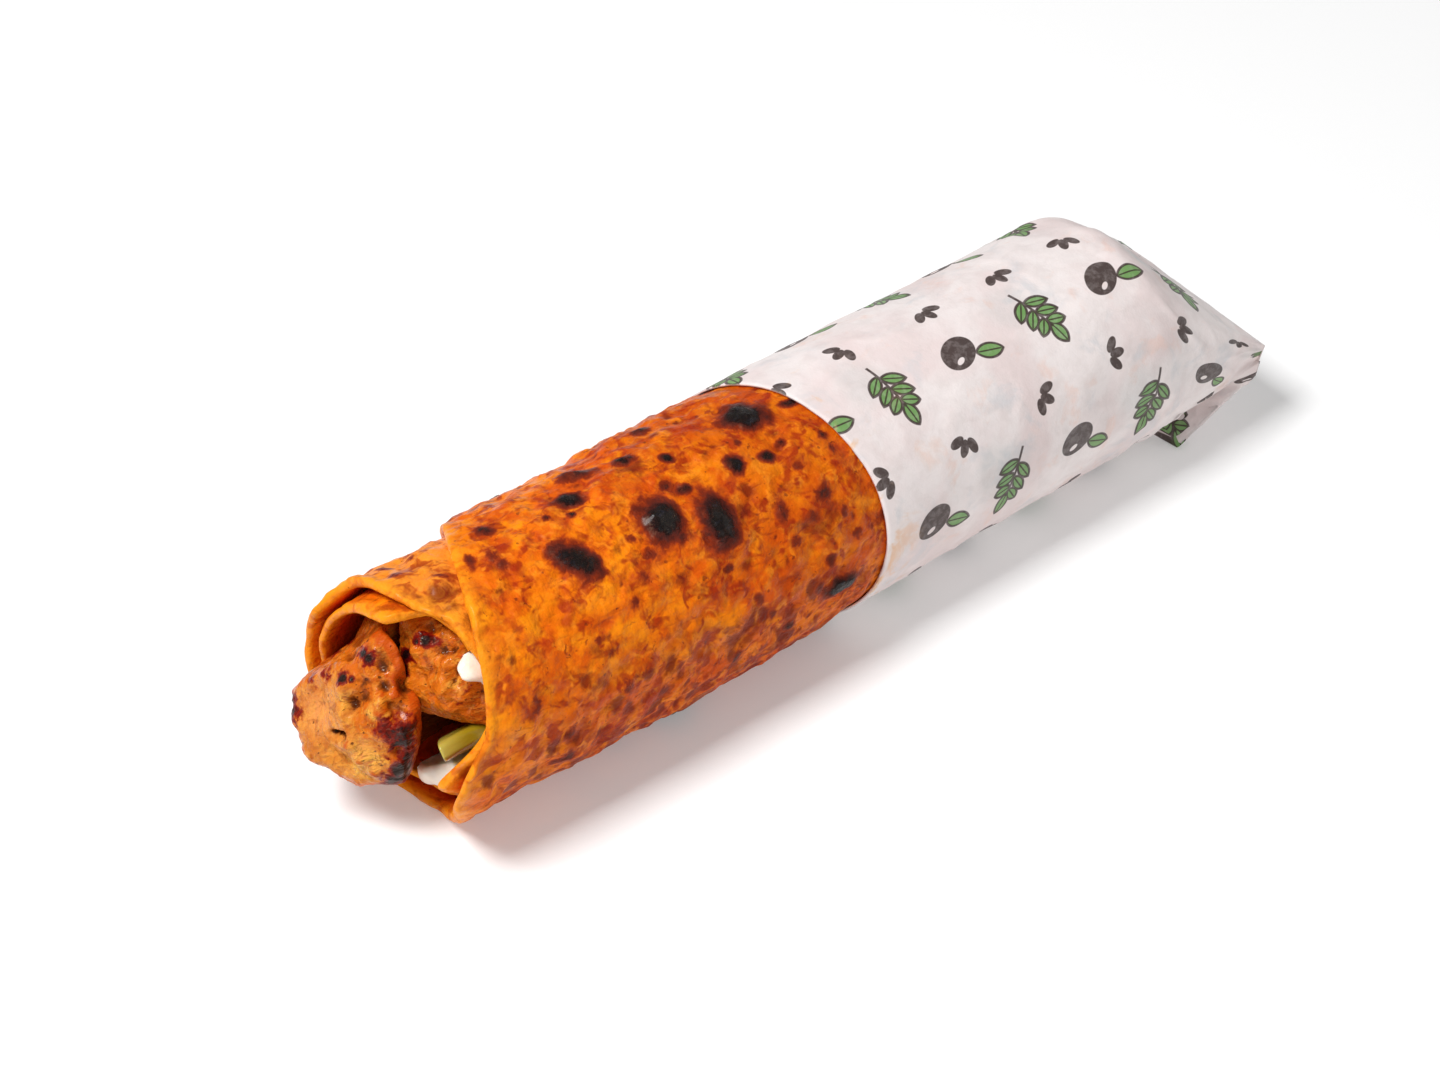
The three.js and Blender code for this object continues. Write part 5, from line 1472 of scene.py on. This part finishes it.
class WRAP_OT_stage(bpy.types.Operator):
    """Makes the camera, the floor and the studio light"""
    bl_idname = "wrap.stage"
    bl_label = "Stage"

    def execute(self, context):
        scene, settings = context.scene, context.scene.wrap_stage
        scene.view_settings.view_transform = "Standard"
        az, el = settings.azimuth, settings.elevation
        back = Vector((math.sin(az) * math.cos(el), -math.cos(az) * math.cos(el), math.sin(el)))
        camera = bpy.data.objects.new("camera", bpy.data.cameras.new("camera"))
        camera.data.sensor_width = 36
        camera.data.lens = settings.lens
        camera.data.clip_end = 20
        camera.location = Vector(settings.target) + back * settings.distance
        camera.rotation_euler = back.to_track_quat("Z", "Y").to_euler()
        scene.collection.objects.link(camera)
        scene.camera = camera
        self.floor(scene, settings.floor)
        self.lights(scene)
        return {"FINISHED"}

    def floor(self, scene, half):
        """A pale square floor, half its width to each side."""
        mesh = bpy.data.meshes.new("floor")
        corners = [(-half, -half, 0), (half, -half, 0), (half, half, 0), (-half, half, 0)]
        mesh.from_pydata(corners, [], [(0, 1, 2, 3)])
        floor = bpy.data.objects.new("floor", mesh)
        scene.collection.objects.link(floor)
        look = Look("pale_floor", Roughness=0.9, Base_Color=(0.8, 0.8, 0.8, 1), Emission_Strength=0.20,
                    Emission_Color=(1, 1, 1, 1))
        mesh.materials.append(look.material)

    def lights(self, scene):
        """A large soft light above and behind the shoulder of the wrap, a broad fill in front, and a pale
        surround."""
        for name, place, size, power in LAMPS:
            light = bpy.data.lights.new(name, "AREA")
            light.size = size
            light.energy = power
            lamp = bpy.data.objects.new(name, light)
            lamp.location = place
            away = Vector(place) - Vector(LAMP_TARGET)
            lamp.rotation_euler = away.to_track_quat("Z", "Y").to_euler()
            scene.collection.objects.link(lamp)
        world = bpy.data.worlds.new("surround")
        world.use_nodes = True
        background = world.node_tree.nodes["Background"].inputs
        background["Color"].default_value = (1, 1, 1, 1)
        background["Strength"].default_value = 0.30
        scene.world = world


class WRAP_OT_flatbread(bpy.types.Operator):
    """Makes the rolled flatbread"""
    bl_idname = "wrap.flatbread"
    bl_label = "Flatbread"

    def execute(self, context):
        settings = context.scene.wrap_bread
        piece = build_flatbread(settings.blisters)
        dress(piece, bread_material(settings), "flatbread")
        return {"FINISHED"}


class WRAP_OT_chicken(bpy.types.Operator):
    """Makes the two rows of grilled chicken"""
    bl_idname = "wrap.chicken"
    bl_label = "Chicken"

    def execute(self, context):
        settings = context.scene.wrap_filling
        material = chicken_material(settings)
        front = build_chicken("chicken_front_row", (FRONT_CENTRE, FRONT_FACETS, FRONT_CUT, FRONT_DENTS),
                              FRONT_ROW, FRONT_LIMITS, (FRONT_SCORCH, FRONT_PALE, FRONT_PINK, FRONT_DEEP_X),
                              FRONT_SEED, settings.relief)
        dress(front, material, "chicken_front")
        back = build_chicken("chicken_back_row", (BACK_CENTRE, BACK_FACETS, BACK_CUT, BACK_DENTS),
                             BACK_ROW, BACK_LIMITS, (BACK_SCORCH, BACK_PALE, BACK_PINK, BACK_DEEP_X),
                             BACK_SEED, settings.relief)
        dress(back, material, "chicken_back")
        return {"FINISHED"}


class WRAP_OT_sauce(bpy.types.Operator):
    """Makes the garlic sauce"""
    bl_idname = "wrap.sauce"
    bl_label = "Garlic Sauce"

    def execute(self, context):
        settings = context.scene.wrap_filling
        dress(build_sauce(), sauce_material(settings), "garlic_sauce")
        return {"FINISHED"}


class WRAP_OT_pickle(bpy.types.Operator):
    """Makes the slice of pickle"""
    bl_idname = "wrap.pickle"
    bl_label = "Pickle"

    def execute(self, context):
        settings = context.scene.wrap_filling
        dress(build_pickle(), pickle_material(settings), "pickle")
        return {"FINISHED"}


class WRAP_OT_paper(bpy.types.Operator):
    """Makes the printed greaseproof paper"""
    bl_idname = "wrap.paper"
    bl_label = "Greaseproof Paper"

    def execute(self, context):
        settings = context.scene.wrap_paper
        piece = build_paper(settings.wrinkle)
        dress(piece, paper_material(settings), "wrap_paper")
        return {"FINISHED"}


OPERATORS = (WRAP_OT_stage, WRAP_OT_flatbread, WRAP_OT_chicken, WRAP_OT_sauce, WRAP_OT_pickle, WRAP_OT_paper)
SETTINGS = {"wrap_bread": WrapBreadSettings, "wrap_filling": WrapFillingSettings,
            "wrap_paper": WrapPaperSettings, "wrap_stage": WrapStageSettings}


class WRAP_PT_sidebar(bpy.types.Panel):
    """Sizes, colours and the pieces of the wrap"""
    bl_label = "Shish Tawook Wrap"
    bl_idname = "WRAP_PT_sidebar"
    bl_space_type = "VIEW_3D"
    bl_region_type = "UI"
    bl_category = "Wrap"

    def draw(self, context):
        for name, kind in SETTINGS.items():
            box = self.layout.box()
            for label in kind.__annotations__:
                box.prop(getattr(context.scene, name), label)
        for operator in OPERATORS:
            self.layout.operator(operator.bl_idname)


def register():
    """Registers the settings, operators and panel, and adds the settings to the scene."""
    for kind in (*SETTINGS.values(), *OPERATORS, WRAP_PT_sidebar):
        bpy.utils.register_class(kind)
    for name, kind in SETTINGS.items():
        setattr(bpy.types.Scene, name, PointerProperty(type=kind))


def unregister():
    """Takes away what register added, in reverse order."""
    for name in SETTINGS:
        delattr(bpy.types.Scene, name)
    for kind in reversed((*SETTINGS.values(), *OPERATORS, WRAP_PT_sidebar)):
        bpy.utils.unregister_class(kind)


def main():
    """Makes the stage and all pieces."""
    register()
    for operator in OPERATORS:
        group, name = operator.bl_idname.split(".")
        getattr(getattr(bpy.ops, group), name)()


if __name__ == "__main__":
    main()
